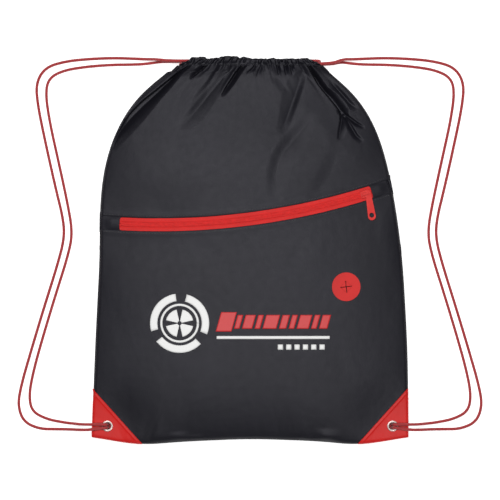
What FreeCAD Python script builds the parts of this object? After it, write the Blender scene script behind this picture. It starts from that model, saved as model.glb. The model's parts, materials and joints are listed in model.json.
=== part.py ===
"""A drawstring backpack of thin polyester, lying on its back with its cords laid out beside it.

The bag is cinched at the mouth and empty. +X is the right of the front face as it is looked at, +Y runs up
the bag to the mouth, and +Z is out of the front face. The origin is under the middle of the bag, on
the surface that it lies on. Millimetres throughout.
"""

import FreeCAD
import Part
import math
import os

V = FreeCAD.Vector
Z_AXIS = V(0, 0, 1)

# ---- Driving dimensions -------------------------------------------------------------------------------
CORNER_X = 171.6  # half the width of the bag at its bottom corners
HALF_HEIGHT = 210.4
MOUTH_Y = 193.0  # lower edge of the cord casing
FABRIC = 0.8  # thickness that stands for one layer of cloth
PATCH = 0.6
LAYER_GAP = 0.2

# The side edges and the bottom edge: (y, x) and (x, y), with a smooth curve through the points.
LEFT_EDGE = [(-202.9, -171.6), (-108.8, -168.1), (0, -163.1), (54, -162.0), (98, -155.5), (130.6, -143.6),
             (152.3, -131.6), (175, -111.6), (193, -89.6)]
RIGHT_EDGE = [(-202.9, 171.6), (-108.8, 170.7), (0, 164.1), (54, 156.5), (98, 147.3), (130.6, 136.2),
              (152.3, 124.9), (175, 106.3), (193, 85.6)]
BOTTOM_EDGE = [(-171.6, -202.9), (-117.5, -210.4), (-70, -207.9), (0, -205.3), (70, -207.4), (117.5, -210.4),
               (171.6, -202.9)]

# Heights of the lower faces of the three layers where they are sewn together, and how far they swell.
BACK_SEAM_Z = 10.0
LINING_SEAM_Z = BACK_SEAM_Z + FABRIC + LAYER_GAP
FRONT_SEAM_Z = LINING_SEAM_Z + FABRIC + LAYER_GAP
FRONT_RISE = 16.2
BACK_TOUCHDOWN = 0.72  # share of the swelling at which the back reaches the ground
GROUND_BITE = 0.25  # what the ground presses off the lower face there
POCKET_GAP = 6.5
SIDE_POWER, SOFTNESS = 2.5, 0.8  # shape of the swelling near a seam
BOTTOM_REACH = 95.0  # how far up from the bottom seam the swelling grows
PINCH_REACH = 36.0  # how far round a grommet the layers stay pressed together
MOUTH_SQUEEZE, SQUEEZE_START = 0.62, 80.0

# Zipper: the middle line of its chain is an arc through three points.
TRACK_LEFT, TRACK_MIDDLE, TRACK_RIGHT = V(-140.9, 28.5, 16.4), V(-3.7, 33.1, 27.4), V(131.2, 62.7, 16.4)
BAND_HALF = 7.4  # half the width of the strip of zipper that shows
TAPE_HALF, TAPE_THICKNESS = 12.0, 0.5
TAPE_TUCK = 15.0  # how far each tape runs on under its end tab
CHAIN_GAP = 0.6  # half the gap between the two rows of coil
COIL_HALF, COIL_HEIGHT = 2.7, 1.5
PANEL_LIFT = 0.55  # lower face of a panel above the middle of the tape
BAND_FLAT, BAND_FADE = 15.0, 55.0  # the panels follow the tape to the first, and are free of it at the second
TAB_LENGTH, TAB_LOW, TAB_HIGH = 18.0, 2.1, 2.7
STOP_LOW, STOP_HIGH, STOP_GAP = -0.75, 1.7, 0.1
OPEN_STOP_LENGTH, CLOSED_STOP_LENGTH = 2.4, 2.2
SLIDER_FROM_END = 6.9  # slider's middle to the end of the chain, when it is closed or wide open

# Slider and pull, in the slider's own frame: x along the chain, y across it, z up from the middle of the tape.
SLIDER_LENGTH, SLIDER_WIDTH = 11.0, 8.6
PLATE_LOW, PLATE_LOW_TOP = -1.35, -0.55
PLATE_HIGH, PLATE_HIGH_TOP = 2.0, 2.9
FLANGE_LOW, FLANGE_INSIDE = 0.55, 3.1
WEDGE_HALF = 0.35
POST_X, POST_RADIUS = 2.8, 0.85
BRIDGE_LOW, BRIDGE_HIGH, BRIDGE_HALF = 5.0, 6.1, 1.1
PULL_LOW, PULL_THICKNESS = 3.25, 1.1
PULL_EYE, PULL_RING = 1.2, 3.0
PULL_HOLE_AT, PULL_HOLE = 24.2, 2.6
PULL_END_AT, PULL_END = 25.4, 4.3  # middle and radius of the round end
PULL_ANGLE = -98.4  # direction of the pull from the slider's x axis, at rest
PULL_BLOCKED = 136.0  # the pull meets the bridge's rear leg at this direction, on either side

# Earbud port: a disc with a cross cut in it, whose four flaps bend inwards.
PORT_X, PORT_Y, PORT_RADIUS, PORT_THICKNESS = 103.8, -39.7, 15.5, 1.0
PORT_HOLE, PORT_LIFT = 7.5, 0.35
SLIT_ARM, SLIT_HALF, FLAP_GAP, SLIT_TURN = 6.6, 0.4, 0.15, 7.0
FLAP_TRAVEL = 65.0

# Corner patches, grommets and knots.
PATCH_TOP_Y, PATCH_IN_X = -150.2, 117.5
GROMMET_X, GROMMET_Y = 154.6, -190.8
GROMMET_BORE, GROMMET_BARREL, GROMMET_FLANGE = 3.5, 4.0, 6.25
GROMMET_CLEARANCE = 0.1
LIP = 0.75
WASHER, ROLL = 0.6, 0.6  # thickness of the washer, and of the barrel rolled over it
KNOT_RADIUS, KNOT_HEIGHT, KNOT_SHOULDER = 6.2, 7.0, 2.4

# Cord casing, front and back, and the two cords in it.
CASING_LOW_X, CASING_MID_X, CASING_TOP_X = 85.8, 73.0, 67.0
CASING_MID_Y = 205.0
CASING_DEPTH = 8.0
BACK_CASING_Z, FRONT_CASING_Z = 0.3, 14.0
TUNNEL_Y, TUNNEL_WIDE, TUNNEL_DEEP = 204.5, 8.4, 4.6
CORD = 3.2
LANE = 1.9  # each cord's distance from the middle of the tunnel
TURN_X = 77.0  # where each cord turns from the front casing to the back one

N_COLUMNS, N_ROWS = 24, 12


def smooth(points):
    """A smooth function through (place, value) points."""
    n = len(points)
    slopes = []
    for i in range(n):
        (a, va), (b, vb) = points[max(i - 1, 0)], points[min(i + 1, n - 1)]
        slopes.append((vb - va) / (b - a))

    def value(t):
        i = 0
        while i < n - 2 and t > points[i + 1][0]:
            i += 1
        (a, va), (b, vb) = points[i], points[i + 1]
        h = b - a
        k = (t - a) / h
        rise = slopes[i] * h * (k - 2 * k**2 + k**3) + slopes[i + 1] * h * (k**3 - k**2)
        return va + (vb - va) * (3 * k**2 - 2 * k**3) + rise

    return value


left_edge, right_edge, bottom_edge = smooth(LEFT_EDGE), smooth(RIGHT_EDGE), smooth(BOTTOM_EDGE)


def ease(t):
    """0 below 0, 1 above 1, and a smooth step between."""
    t = max(0.0, min(1.0, t))
    return t * t * (3 - 2 * t)


def mix(a, b, t):
    return a + (b - a) * t


def across_share(x, y):
    """-1 at the left edge, 0 in the middle and 1 at the right edge."""
    a, b = left_edge(y), right_edge(y)
    return max(-1.0, min(1.0, (2 * x - a - b) / (b - a)))


def swelling(x, y):
    """0 at the sewn edges and at the grommets, and 1 where the bag is fullest."""
    side = (1 - abs(across_share(x, y)) ** SIDE_POWER) ** SOFTNESS
    up = max(0.0, min(1.0, (y - bottom_edge(x)) / BOTTOM_REACH))
    base = (1 - (1 - up) ** SIDE_POWER) ** SOFTNESS
    pinch = 1.0
    for grommet_x in (-GROMMET_X, GROMMET_X):
        away = math.hypot(x - grommet_x, y - GROMMET_Y)
        pinch *= 1 - math.exp(-((away / PINCH_REACH) ** 2))
    return side * base * pinch


# ---- The zipper's arc ---------------------------------------------------------------------------------
_circle = Part.Circle(TRACK_LEFT, TRACK_MIDDLE, TRACK_RIGHT)
TRACK_CENTRE, TRACK_RADIUS = _circle.Center, _circle.Radius
_along = (TRACK_RIGHT - TRACK_LEFT).normalize()
TRACK_AXIS = (TRACK_MIDDLE - TRACK_CENTRE).cross(_along).normalize()
MIDDLE_ACROSS = Z_AXIS.cross(_along).normalize()


def turned(vector, degrees):
    return FreeCAD.Rotation(TRACK_AXIS, degrees).multVec(vector)


def track(degrees):
    """The chain's middle line: 0 at its middle point, and more to the right."""
    return TRACK_CENTRE + turned(TRACK_MIDDLE - TRACK_CENTRE, degrees)


def degrees_of(point):
    arm = point - TRACK_CENTRE
    start = TRACK_MIDDLE - TRACK_CENTRE
    angle = math.degrees(start.getAngle(arm))
    return angle if start.cross(arm).dot(TRACK_AXIS) > 0 else -angle


def arc_degrees(length):
    return math.degrees(length / TRACK_RADIUS)


LEFT_DEG, RIGHT_DEG = degrees_of(TRACK_LEFT), degrees_of(TRACK_RIGHT)
SLIDER_DEG = RIGHT_DEG - arc_degrees(SLIDER_FROM_END)


def on_band(x, y):
    """The tape's surface over a point: degrees along the arc, distance across it, and height."""
    degrees, off = 0.0, 0.0
    for _ in range(6):
        p, a = track(degrees), turned(MIDDLE_ACROSS, degrees)
        t = TRACK_AXIS.cross(p - TRACK_CENTRE)
        dx, dy = x - p.x - off * a.x, y - p.y - off * a.y
        scale = t.x * a.y - t.y * a.x
        degrees += math.degrees((dx * a.y - dy * a.x) / scale)
        off += (t.x * dy - t.y * dx) / scale
    return degrees, off, track(degrees).z + off * turned(MIDDLE_ACROSS, degrees).z


def band_weight(x, y, off):
    """1 on the zipper, and 0 away from it and at the side seams."""
    near_edge = min(1.0, (1 - abs(across_share(x, y))) / 0.036)
    return near_edge * (1 - ease((abs(off) - BAND_FLAT) / (BAND_FADE - BAND_FLAT)))


def front_z(x, y):
    """Lower face of the front layer."""
    squeeze = 1 - MOUTH_SQUEEZE * ease((y - SQUEEZE_START) / (MOUTH_Y - SQUEEZE_START))
    z = FRONT_SEAM_Z + FRONT_RISE * swelling(x, y) * squeeze
    _, off, band = on_band(x, y)
    return mix(z, band + PANEL_LIFT, band_weight(x, y, off))


def lining_z(x, y):
    """Lower face of the wall between the pocket and the main compartment."""
    _, off, _ = on_band(x, y)
    side = 1 - abs(across_share(x, y)) ** 6
    base = min(1.0, max(0.0, (y - bottom_edge(x)) / 40)) ** SOFTNESS
    gap = POCKET_GAP * (1 - math.exp(min(0.0, off - TAPE_HALF) / 4.5)) * side * base
    for grommet_x in (-GROMMET_X, GROMMET_X):
        away = math.hypot(x - grommet_x, y - GROMMET_Y)
        gap *= 1 - math.exp(-((away / PINCH_REACH) ** 2))
    under_tape = 0.75 * band_weight(x, y, off)
    return front_z(x, y) - FABRIC - LAYER_GAP - under_tape - gap


def back_z(x, y):
    """Lower face of the back before the ground flattens it."""
    down = min(1.0, swelling(x, y) / BACK_TOUCHDOWN)
    return mix(BACK_SEAM_Z, -GROUND_BITE, 1 - (1 - down) ** 2)


# ---- Cloth layers -------------------------------------------------------------------------------------
def column_shares():
    """Columns from 0 at the left edge to 1 at the right, closer together near the edges."""
    return [0.5 - 0.5 * math.cos(math.pi * i / N_COLUMNS) for i in range(N_COLUMNS + 1)]


def at_share(share, y):
    return mix(left_edge(y), right_edge(y), share)


def band_line_y(share, off):
    """Where a column crosses the line at that distance across the zipper."""
    y = TRACK_MIDDLE.y
    for _ in range(12):
        y += off - on_band(at_share(share, y), y)[1]
    return y


def bottom_y(share):
    return bottom_edge(mix(-CORNER_X, CORNER_X, share))


def cloth_face(low_y, high_y, height, lift=0.0):
    """A face between two lines across the bag, at height(x, y)."""
    rows = []
    for j in range(N_ROWS + 1):
        t = 0.5 - 0.5 * math.cos(math.pi * j / N_ROWS)
        row = []
        for share in column_shares():
            y = mix(low_y(share), high_y(share), t)
            x = at_share(share, y)
            row.append(V(x, y, height(x, y) + lift))
        rows.append(row)
    surface = Part.BSplineSurface()
    surface.interpolate(rows)
    return surface.toShape()


def cloth(low_y, high_y, height, lift=0.0, thickness=FABRIC):
    return cloth_face(low_y, high_y, height, lift).extrude(V(0, 0, thickness))


def grommet_holes():
    radius = GROMMET_BARREL + GROMMET_CLEARANCE
    holes = [Part.makeCylinder(radius, 30, V(side * GROMMET_X, GROMMET_Y, 0)) for side in (-1, 1)]
    return holes[0].fuse(holes[1])


def mouth_y(_share):
    return MOUTH_Y


def front_upper_panel():
    return cloth(lambda s: band_line_y(s, BAND_HALF), mouth_y, front_z)


def pocket_panel_sheet(lift=0.0, thickness=FABRIC):
    return cloth(bottom_y, lambda s: band_line_y(s, -BAND_HALF), front_z, lift, thickness)


def front_pocket_panel():
    centre, turn = port_place()
    hole = Part.makeCylinder(PORT_HOLE, 20, V(0, 0, -10))
    hole.Placement = FreeCAD.Placement(centre, turn)
    return pocket_panel_sheet().cut(grommet_holes()).cut(hole)


def pocket_lining():
    return cloth(bottom_y, lambda s: band_line_y(s, TAPE_HALF - 0.5), lining_z).cut(grommet_holes())


def back_panel():
    """Curved up to the seams, and flat where it lies on the ground."""
    ground = box(-400, 400, -400, 400, -60, 0)
    return cloth(bottom_y, mouth_y, back_z).cut(ground).cut(grommet_holes())


def patch_prism(side):
    """The corner's triangle seen from above, run well past the bag's own edges."""
    spare = 12.0
    slope = (PATCH_TOP_Y + HALF_HEIGHT) / (CORNER_X - PATCH_IN_X)
    far_x, far_y = CORNER_X + spare, -HALF_HEIGHT - spare
    corners = [V(far_x, PATCH_TOP_Y + slope * spare, -5), V(far_x, far_y, -5),
               V(PATCH_IN_X - spare / slope, far_y, -5)]
    corners = [V(side * c.x, c.y, c.z) for c in corners]
    return Part.Face(Part.makePolygon([*corners, corners[0]])).extrude(V(0, 0, 60))


def corner_patches():
    """Front and back patch at each bottom corner."""
    front = pocket_panel_sheet(FABRIC + LAYER_GAP, PATCH).cut(grommet_holes())
    back = cloth(bottom_y, lambda s: -100.0, back_z, -LAYER_GAP - PATCH, PATCH).cut(grommet_holes())
    patches = {}
    for name, side in (("left", -1), ("right", 1)):
        prism = patch_prism(side)
        patches["corner_patch_front_" + name] = front.common(prism)
        patches["corner_patch_back_" + name] = back.common(prism)
    return patches


# ---- Zipper -------------------------------------------------------------------------------------------
def section_point(off, up):
    return TRACK_MIDDLE + MIDDLE_ACROSS * off + Z_AXIS * up


def swept(outline, from_deg, to_deg):
    """A section, as (across, up) points, carried round the zipper's arc."""
    points = [section_point(*p) for p in outline]
    face = Part.Face(Part.makePolygon([*points, points[0]]))
    face.rotate(TRACK_CENTRE, TRACK_AXIS, from_deg)
    return face.revolve(TRACK_CENTRE, TRACK_AXIS, to_deg - from_deg)


def rectangle(off_low, off_high, up_low, up_high):
    return [(off_low, up_low), (off_high, up_low), (off_high, up_high), (off_low, up_high)]


def zipper_rows():
    """The two tapes and the two rows of coil that stand on their inner edges."""
    tuck = arc_degrees(TAPE_TUCK)
    half, top = TAPE_THICKNESS / 2, TAPE_THICKNESS / 2 + COIL_HEIGHT
    shapes = {}
    for name, side in (("upper", 1), ("lower", -1)):
        tape = rectangle(side * CHAIN_GAP, side * TAPE_HALF, -half, half)
        coil = [(side * CHAIN_GAP, half), (side * COIL_HALF, half), (side * COIL_HALF, top - 0.5),
                (side * (COIL_HALF - 0.5), top), (side * (CHAIN_GAP + 0.2), top), (side * CHAIN_GAP, top - 0.2)]
        shapes["zipper_tape_" + name] = swept(tape, LEFT_DEG - tuck, RIGHT_DEG + tuck)
        shapes["zipper_coil_" + name] = swept(coil, LEFT_DEG, RIGHT_DEG + arc_degrees(0.2))
    return shapes


def zipper_end_stops():
    """A clamp across both rows at the open end, and one on each row at the closed end."""
    half = TAPE_THICKNESS / 2

    def clamp(low, high, from_deg, length):
        """A staple-shaped stop round the tape edge: its top and bottom meet through the chain gap."""
        to_deg = from_deg + arc_degrees(length)
        top = swept(rectangle(low, high, half + STOP_GAP, STOP_HIGH), from_deg, to_deg)
        under = swept(rectangle(low, high, STOP_LOW, -half - STOP_GAP), from_deg, to_deg)
        side = 1 if low + high >= 0 else -1
        middle = (-0.45, 0.45) if low < 0 < high else (side * 0.1, side * 0.5)
        link = swept(rectangle(*middle, STOP_LOW, STOP_HIGH), from_deg, to_deg)
        return top.fuse([link, under]).removeSplitter()

    first = RIGHT_DEG + arc_degrees(0.5)
    left = clamp(-COIL_HALF, COIL_HALF, LEFT_DEG - arc_degrees(OPEN_STOP_LENGTH + 0.3), OPEN_STOP_LENGTH)
    right = [clamp(low, high, first, CLOSED_STOP_LENGTH)
             for low, high in ((0.1, COIL_HALF), (-COIL_HALF, -0.1))]
    return {"zipper_open_end_stop": left, "zipper_closed_end_stops": Part.makeCompound(right)}


def zipper_end_tabs():
    tab = rectangle(-BAND_HALF + 0.2, BAND_HALF - 0.2, TAB_LOW, TAB_HIGH)
    length = arc_degrees(TAB_LENGTH)
    return {"zipper_end_tab_left": swept(tab, LEFT_DEG - length, LEFT_DEG),
            "zipper_end_tab_right": swept(tab, RIGHT_DEG, RIGHT_DEG + length)}


def slider_placement():
    """From the slider's own frame to its place at rest, at the closed end."""
    origin = track(SLIDER_DEG)
    up = turned(Z_AXIS, SLIDER_DEG)
    across = turned(MIDDLE_ACROSS, SLIDER_DEG)
    along = across.cross(up)
    turn = FreeCAD.Rotation(along, across, up, "ZXY")
    return FreeCAD.Placement(origin, turn)


def box(x0, x1, y0, y1, z0, z1):
    return Part.makeBox(x1 - x0, y1 - y0, z1 - z0, V(x0, y0, z0))


def zipper_slider():
    """Two plates joined by a wedge between the rows, with flanges, and a bridge for the pull on top."""
    half, wide = SLIDER_LENGTH / 2, SLIDER_WIDTH / 2
    plan = [V(-half, -wide + 0.9, 0), V(half - 2.2, -wide, 0), V(half, -wide + 1.6, 0), V(half, wide - 1.6, 0),
            V(half - 2.2, wide, 0), V(-half, wide - 0.9, 0)]
    plate = Part.Face(Part.makePolygon([*plan, plan[0]]))
    low = plate.extrude(V(0, 0, PLATE_LOW_TOP - PLATE_LOW))
    low.translate(V(0, 0, PLATE_LOW))
    high = plate.extrude(V(0, 0, PLATE_HIGH_TOP - FLANGE_LOW))
    high.translate(V(0, 0, FLANGE_LOW))
    high = high.cut(box(-half - 1, half + 1, -FLANGE_INSIDE, FLANGE_INSIDE, FLANGE_LOW - 1, PLATE_HIGH))
    edges = [e for e in high.Edges if abs(e.CenterOfMass.z - PLATE_HIGH_TOP) < 1e-6]
    high = high.makeFillet(0.35, edges)
    wedge = box(1.2, half - 0.4, -WEDGE_HALF, WEDGE_HALF, PLATE_LOW, PLATE_HIGH + 0.2)
    post = Part.makeCylinder(POST_RADIUS, BRIDGE_HIGH - PLATE_HIGH - 0.2, V(POST_X, 0, PLATE_HIGH + 0.2))
    rear = box(-half + 0.6, -half + 2.2, -BRIDGE_HALF, BRIDGE_HALF, PLATE_HIGH + 0.2, BRIDGE_HIGH)
    bar = box(-half + 0.6, POST_X, -BRIDGE_HALF, BRIDGE_HALF, BRIDGE_LOW, BRIDGE_HIGH)
    nose = Part.makeCylinder(BRIDGE_HALF, BRIDGE_HIGH - BRIDGE_LOW, V(POST_X, 0, BRIDGE_LOW))
    slider = high.fuse([low, wedge, post, rear, bar, nose]).removeSplitter()
    slider.Placement = slider_placement()
    return slider


def pull_placement():
    local = FreeCAD.Placement(V(POST_X, 0, PULL_LOW), FreeCAD.Rotation(Z_AXIS, PULL_ANGLE))
    return slider_placement().multiply(local)


def zipper_pull():
    """A flat tab: an eye round the bridge's post, a waist, and a round end with a hole."""
    ring = Part.makeCylinder(PULL_RING, PULL_THICKNESS)
    end = Part.makeCylinder(PULL_END, PULL_THICKNESS, V(PULL_END_AT, 0, 0))
    waist = [V(0, -PULL_RING, 0), V(PULL_END_AT, -PULL_END, 0), V(PULL_END_AT, PULL_END, 0), V(0, PULL_RING, 0)]
    blade = Part.Face(Part.makePolygon([*waist, waist[0]])).extrude(V(0, 0, PULL_THICKNESS))
    eye = Part.makeCylinder(PULL_EYE, 9, V(0, 0, -3))
    hole = Part.makeCylinder(PULL_HOLE, 9, V(PULL_HOLE_AT, 0, -3))
    pull = ring.fuse([end, blade]).removeSplitter().cut(eye).cut(hole)
    rims = [e for e in pull.Edges if e.BoundBox.DiagonalLength > 6 and abs(e.BoundBox.ZLength) < 1e-6]
    pull = pull.makeFillet(0.25, rims)
    pull.Placement = pull_placement()
    return pull


# ---- Earbud port --------------------------------------------------------------------------------------
def port_place():
    """The port's centre on top of the pocket panel, and the turn that lays a flat disc there."""
    step = 8.0
    slope_x = (front_z(PORT_X + step, PORT_Y) - front_z(PORT_X - step, PORT_Y)) / (2 * step)
    slope_y = (front_z(PORT_X, PORT_Y + step) - front_z(PORT_X, PORT_Y - step)) / (2 * step)
    normal = V(-slope_x, -slope_y, 1).normalize()
    centre = V(PORT_X, PORT_Y, front_z(PORT_X, PORT_Y) + FABRIC + PORT_LIFT)
    tilt = FreeCAD.Rotation(Z_AXIS, normal)
    return centre, tilt.multiply(FreeCAD.Rotation(Z_AXIS, SLIT_TURN))


def earbud_port():
    """The disc, and the four flaps that its cross-shaped slit leaves."""
    centre, turn = port_place()
    place = FreeCAD.Placement(centre, turn)
    diamond = [V(SLIT_ARM, 0, 0), V(0, SLIT_ARM, 0), V(-SLIT_ARM, 0, 0), V(0, -SLIT_ARM, 0)]
    cut = Part.Face(Part.makePolygon([*diamond, diamond[0]])).extrude(V(0, 0, PORT_THICKNESS))
    disc = Part.makeCylinder(PORT_RADIUS, PORT_THICKNESS).cut(cut)
    disc.Placement = place
    shapes = {"earbud_port_disc": disc}
    near, far = SLIT_HALF, SLIT_ARM - SLIT_HALF - FLAP_GAP * math.sqrt(2)
    for k in range(4):
        corners = [V(near, near, 0), V(far, near, 0), V(near, far, 0)]
        flap = Part.Face(Part.makePolygon([*corners, corners[0]])).extrude(V(0, 0, PORT_THICKNESS))
        flap.rotate(V(0, 0, 0), Z_AXIS, 90 * k)
        flap.Placement = place.multiply(flap.Placement)
        shapes[f"port_flap_{k + 1}"] = flap
    return shapes


# ---- Grommets and knots -------------------------------------------------------------------------------
def ring_of(profile, centre):
    """A solid of revolution about a vertical line, from (radius, z) points."""
    points = [V(r, 0, z) for r, z in profile]
    solid = Part.Face(Part.makePolygon([*points, points[0]])).revolve(V(0, 0, 0), Z_AXIS, 360)
    solid.translate(centre)
    return solid


def grommet_set(side):
    """An eyelet pressed through the corner from the front, and the washer that it is rolled over at the back."""
    centre = V(side * GROMMET_X, GROMMET_Y, 0)
    top = FRONT_SEAM_Z + FABRIC + LAYER_GAP + PATCH + 0.3
    bottom = BACK_SEAM_Z - LAYER_GAP - PATCH - 0.35
    bore, barrel, flange = GROMMET_BORE, GROMMET_BARREL, GROMMET_FLANGE
    washer_low = bottom - WASHER
    roll_low = washer_low - ROLL
    eyelet = [(bore, roll_low + 0.2), (bore + 0.3, roll_low), (flange - 1.4, roll_low),
              (flange - 1.1, washer_low - 0.1), (barrel, washer_low - 0.1), (barrel, top), (flange - 0.3, top), (flange, top + 0.25),
              (flange - 0.5, top + LIP - 0.15), (flange - 1.3, top + LIP), (bore + 0.7, top + LIP - 0.1),
              (bore + 0.15, top + LIP - 0.4), (bore, top)]
    washer = [(barrel + 0.1, washer_low), (flange, washer_low), (flange, bottom), (barrel + 0.1, bottom)]
    return ring_of(eyelet, centre), ring_of(washer, centre)


def cord_knot(side):
    """The knot that keeps both ends of a cord from pulling back through the grommet."""
    radius, height, shoulder = KNOT_RADIUS, KNOT_HEIGHT, KNOT_SHOULDER
    profile = [(0, 0), (radius - shoulder, 0), (radius, shoulder), (radius, height - shoulder),
               (radius - shoulder, height), (0, height)]
    return ring_of(profile, V(side * GROMMET_X, GROMMET_Y, 0))


# ---- Casing and cords ---------------------------------------------------------------------------------
def casing(low_z):
    """The hem round the mouth, gathered on its cords: a flat tube, open at both ends."""
    half = [(CASING_LOW_X, MOUTH_Y + 0.3), (CASING_MID_X, CASING_MID_Y), (CASING_TOP_X, HALF_HEIGHT)]
    outline = [V(x, y, low_z) for x, y in half] + [V(-x, y, low_z) for x, y in reversed(half)]
    bar = Part.Face(Part.makePolygon([*outline, outline[0]])).extrude(V(0, 0, CASING_DEPTH))
    middle = low_z + CASING_DEPTH / 2
    tunnel = box(-120, 120, TUNNEL_Y - TUNNEL_WIDE / 2, TUNNEL_Y + TUNNEL_WIDE / 2,
                 middle - TUNNEL_DEEP / 2, middle + TUNNEL_DEEP / 2)
    return bar.cut(tunnel)


# A cord's two free stretches on the left, from the casing to the grommet. The right cord is their mirror image.
OUTER_STRETCH = [
    (-100.0, 206.7, 13.6), (-113.0, 207.4, 5.2), (-128.0, 208.3, 1.6), (-148.0, 209.0, 1.6), (-174.0, 208.0, 1.6),
    (-200.0, 205.5, 1.6), (-222.5, 199.0, 1.6), (-233.0, 182.0, 1.6), (-231.0, 157.0, 1.6), (-222.0, 114.0, 1.6),
    (-211.5, 67.0, 1.6), (-203.3, 34.0, 1.6), (-202.0, 13.0, 1.6), (-209.5, -16.0, 1.6), (-224.0, -62.0, 1.6),
    (-239.0, -112.0, 1.6), (-249.0, -147.0, 1.6), (-252.8, -169.0, 1.6), (-246.5, -187.0, 1.6),
    (-229.0, -194.8, 1.6), (-210.0, -194.9, 1.6), (-196.0, -195.0, 3.6), (-184.0, -195.2, 11.0),
    (-174.5, -194.9, 16.2)]
INNER_STRETCH = [
    (-99.0, 204.6, 2.6), (-110.0, 202.9, 1.6), (-124.0, 201.8, 1.6), (-150.0, 201.6, 1.6), (-178.0, 199.5, 1.6),
    (-203.0, 195.5, 1.6), (-219.0, 187.0, 1.6), (-222.6, 170.5, 1.6), (-218.0, 139.0, 1.6), (-208.8, 98.0, 1.6),
    (-199.0, 53.0, 1.6), (-193.0, 19.0, 1.6), (-198.0, -6.0, 1.6), (-212.0, -50.0, 1.6), (-227.0, -100.0, 1.6),
    (-236.0, -133.0, 1.6), (-240.6, -158.0, 1.6), (-237.5, -175.5, 1.6), (-221.5, -184.0, 1.6),
    (-202.5, -187.7, 1.6), (-192.0, -188.7, 4.0), (-182.0, -189.2, 11.4), (-173.0, -189.0, 16.2)]


def cord_route(side):
    """Knot, grommet, outer stretch, front casing, turn, back casing, inner stretch, grommet, knot."""
    lane = TUNNEL_Y - side * LANE
    front, back = FRONT_CASING_Z + CASING_DEPTH / 2, BACK_CASING_Z + CASING_DEPTH / 2
    knot_z, lip_z = KNOT_HEIGHT, 16.6
    outer_hole, inner_hole = GROMMET_Y - 1.7, GROMMET_Y + 1.7
    up = [(-154.6, outer_hole, knot_z), (-154.6, outer_hole, 12.0), (-156.3, outer_hole, 17.2),
          (-163.0, outer_hole - 0.5, lip_z)]
    down = [(-163.0, inner_hole + 0.2, lip_z), (-156.3, inner_hole, 17.2), (-154.6, inner_hole, 12.0),
            (-154.6, inner_hole, knot_z)]
    bend = (1 - math.sqrt(0.5)) * (front - back)
    through = [(-88.0, lane, front), (-34.0, lane + 0.2, front), (23.0, lane - 0.2, front), (TURN_X, lane, front),
               (TURN_X + bend, lane, front - bend), (TURN_X + bend, lane, back + bend), (TURN_X, lane, back),
               (23.0, lane - 0.2, back), (-34.0, lane + 0.2, back), (-88.0, lane, back)]
    route = up + OUTER_STRETCH[::-1] + through + INNER_STRETCH + down
    return [V(-side * x, y, z) for x, y, z in route]


def cord_tube(name, route):
    """A round tube along straight runs joined by tangent arcs."""
    edges, start, radii = [], route[0], []
    for before, corner, after in zip(route, route[1:], route[2:]):
        run_in, run_out = corner - before, after - corner
        reach = 0.45 * min(run_in.Length, run_out.Length)
        turn = run_in.getAngle(run_out)
        radii.append(reach / math.tan(turn / 2))
        a = corner - V(run_in).normalize() * reach
        b = corner + V(run_out).normalize() * reach
        bisector = (V(run_out).normalize() - V(run_in).normalize()).normalize()
        centre = corner + bisector * math.hypot(radii[-1], reach)
        middle = centre - bisector * radii[-1]
        edges += [Part.LineSegment(start, a).toShape(), Part.Arc(a, middle, b).toShape()]
        start = b
    edges.append(Part.LineSegment(start, route[-1]).toShape())
    path = Part.Wire(edges)
    ring = Part.Wire(Part.makeCircle(CORD / 2, route[0], route[1] - route[0]))
    tube = path.makePipeShell([ring], True, False)
    wanted = math.pi * CORD**2 / 4 * path.Length
    share = tube.Volume / wanted
    print(f"{name}: {path.Length:.0f} mm long, least radius {min(radii):.1f}, volume share {share:.4f}")
    return tube


# ---- Moving pieces ------------------------------------------------------------------------------------
def print_joint(name, point, axis, low, high):
    place = " ".join(f"{v / 1000:.6f}" for v in point)
    direction = " ".join(f"{v:.6f}" for v in axis)
    print(f"joint {name}: at {place} m, about {direction}, {low:.1f} to {high:.1f} degrees")


def print_joints():
    """Where each moving piece turns, and how far."""
    travel = RIGHT_DEG - LEFT_DEG - 2 * arc_degrees(SLIDER_FROM_END)
    print_joint("slider", TRACK_CENTRE, TRACK_AXIS, -travel, 0)
    slider = slider_placement()
    post = slider.multVec(V(POST_X, 0, PULL_LOW + PULL_THICKNESS / 2))
    low, high = -PULL_BLOCKED - PULL_ANGLE, PULL_BLOCKED - PULL_ANGLE
    print_joint("pull", post, slider.Rotation.multVec(Z_AXIS), low, high)
    centre, turn = port_place()
    for k in range(4):
        quarter = turn.multiply(FreeCAD.Rotation(Z_AXIS, 90 * k))
        fold = centre + quarter.multVec(V(SLIT_ARM / 2, SLIT_ARM / 2, 0))
        print_joint(f"port_flap_{k + 1}", fold, quarter.multVec(V(1, -1, 0).normalize()), 0, FLAP_TRAVEL)


# ---- Assembly -----------------------------------------------------------------------------------------
def build():
    shapes = {
        "back_panel": back_panel(),
        "front_upper_panel": front_upper_panel(),
        "front_pocket_panel": front_pocket_panel(),
        "pocket_lining": pocket_lining(),
        "front_casing": casing(FRONT_CASING_Z),
        "back_casing": casing(BACK_CASING_Z),
        "zipper_slider": zipper_slider(),
        "zipper_pull": zipper_pull(),
    }
    for group in (corner_patches(), zipper_rows(), zipper_end_stops(), zipper_end_tabs(), earbud_port()):
        shapes.update(group)
    for name, side in (("left", -1), ("right", 1)):
        shapes["grommet_" + name], shapes["grommet_washer_" + name] = grommet_set(side)
        shapes["cord_knot_" + name] = cord_knot(side)
        shapes["drawcord_" + name] = cord_tube("drawcord_" + name, cord_route(side))
    return shapes


def main():
    os.makedirs("parts", exist_ok=True)
    for name, shape in build().items():
        shape.exportStep(f"parts/{name}.step")
    print_joints()


if __name__ == "__main__":
    main()
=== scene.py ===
"""A cinched drawstring backpack, lying on its back on a pale floor with its cords laid out beside it."""

import json
import math
import random

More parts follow.
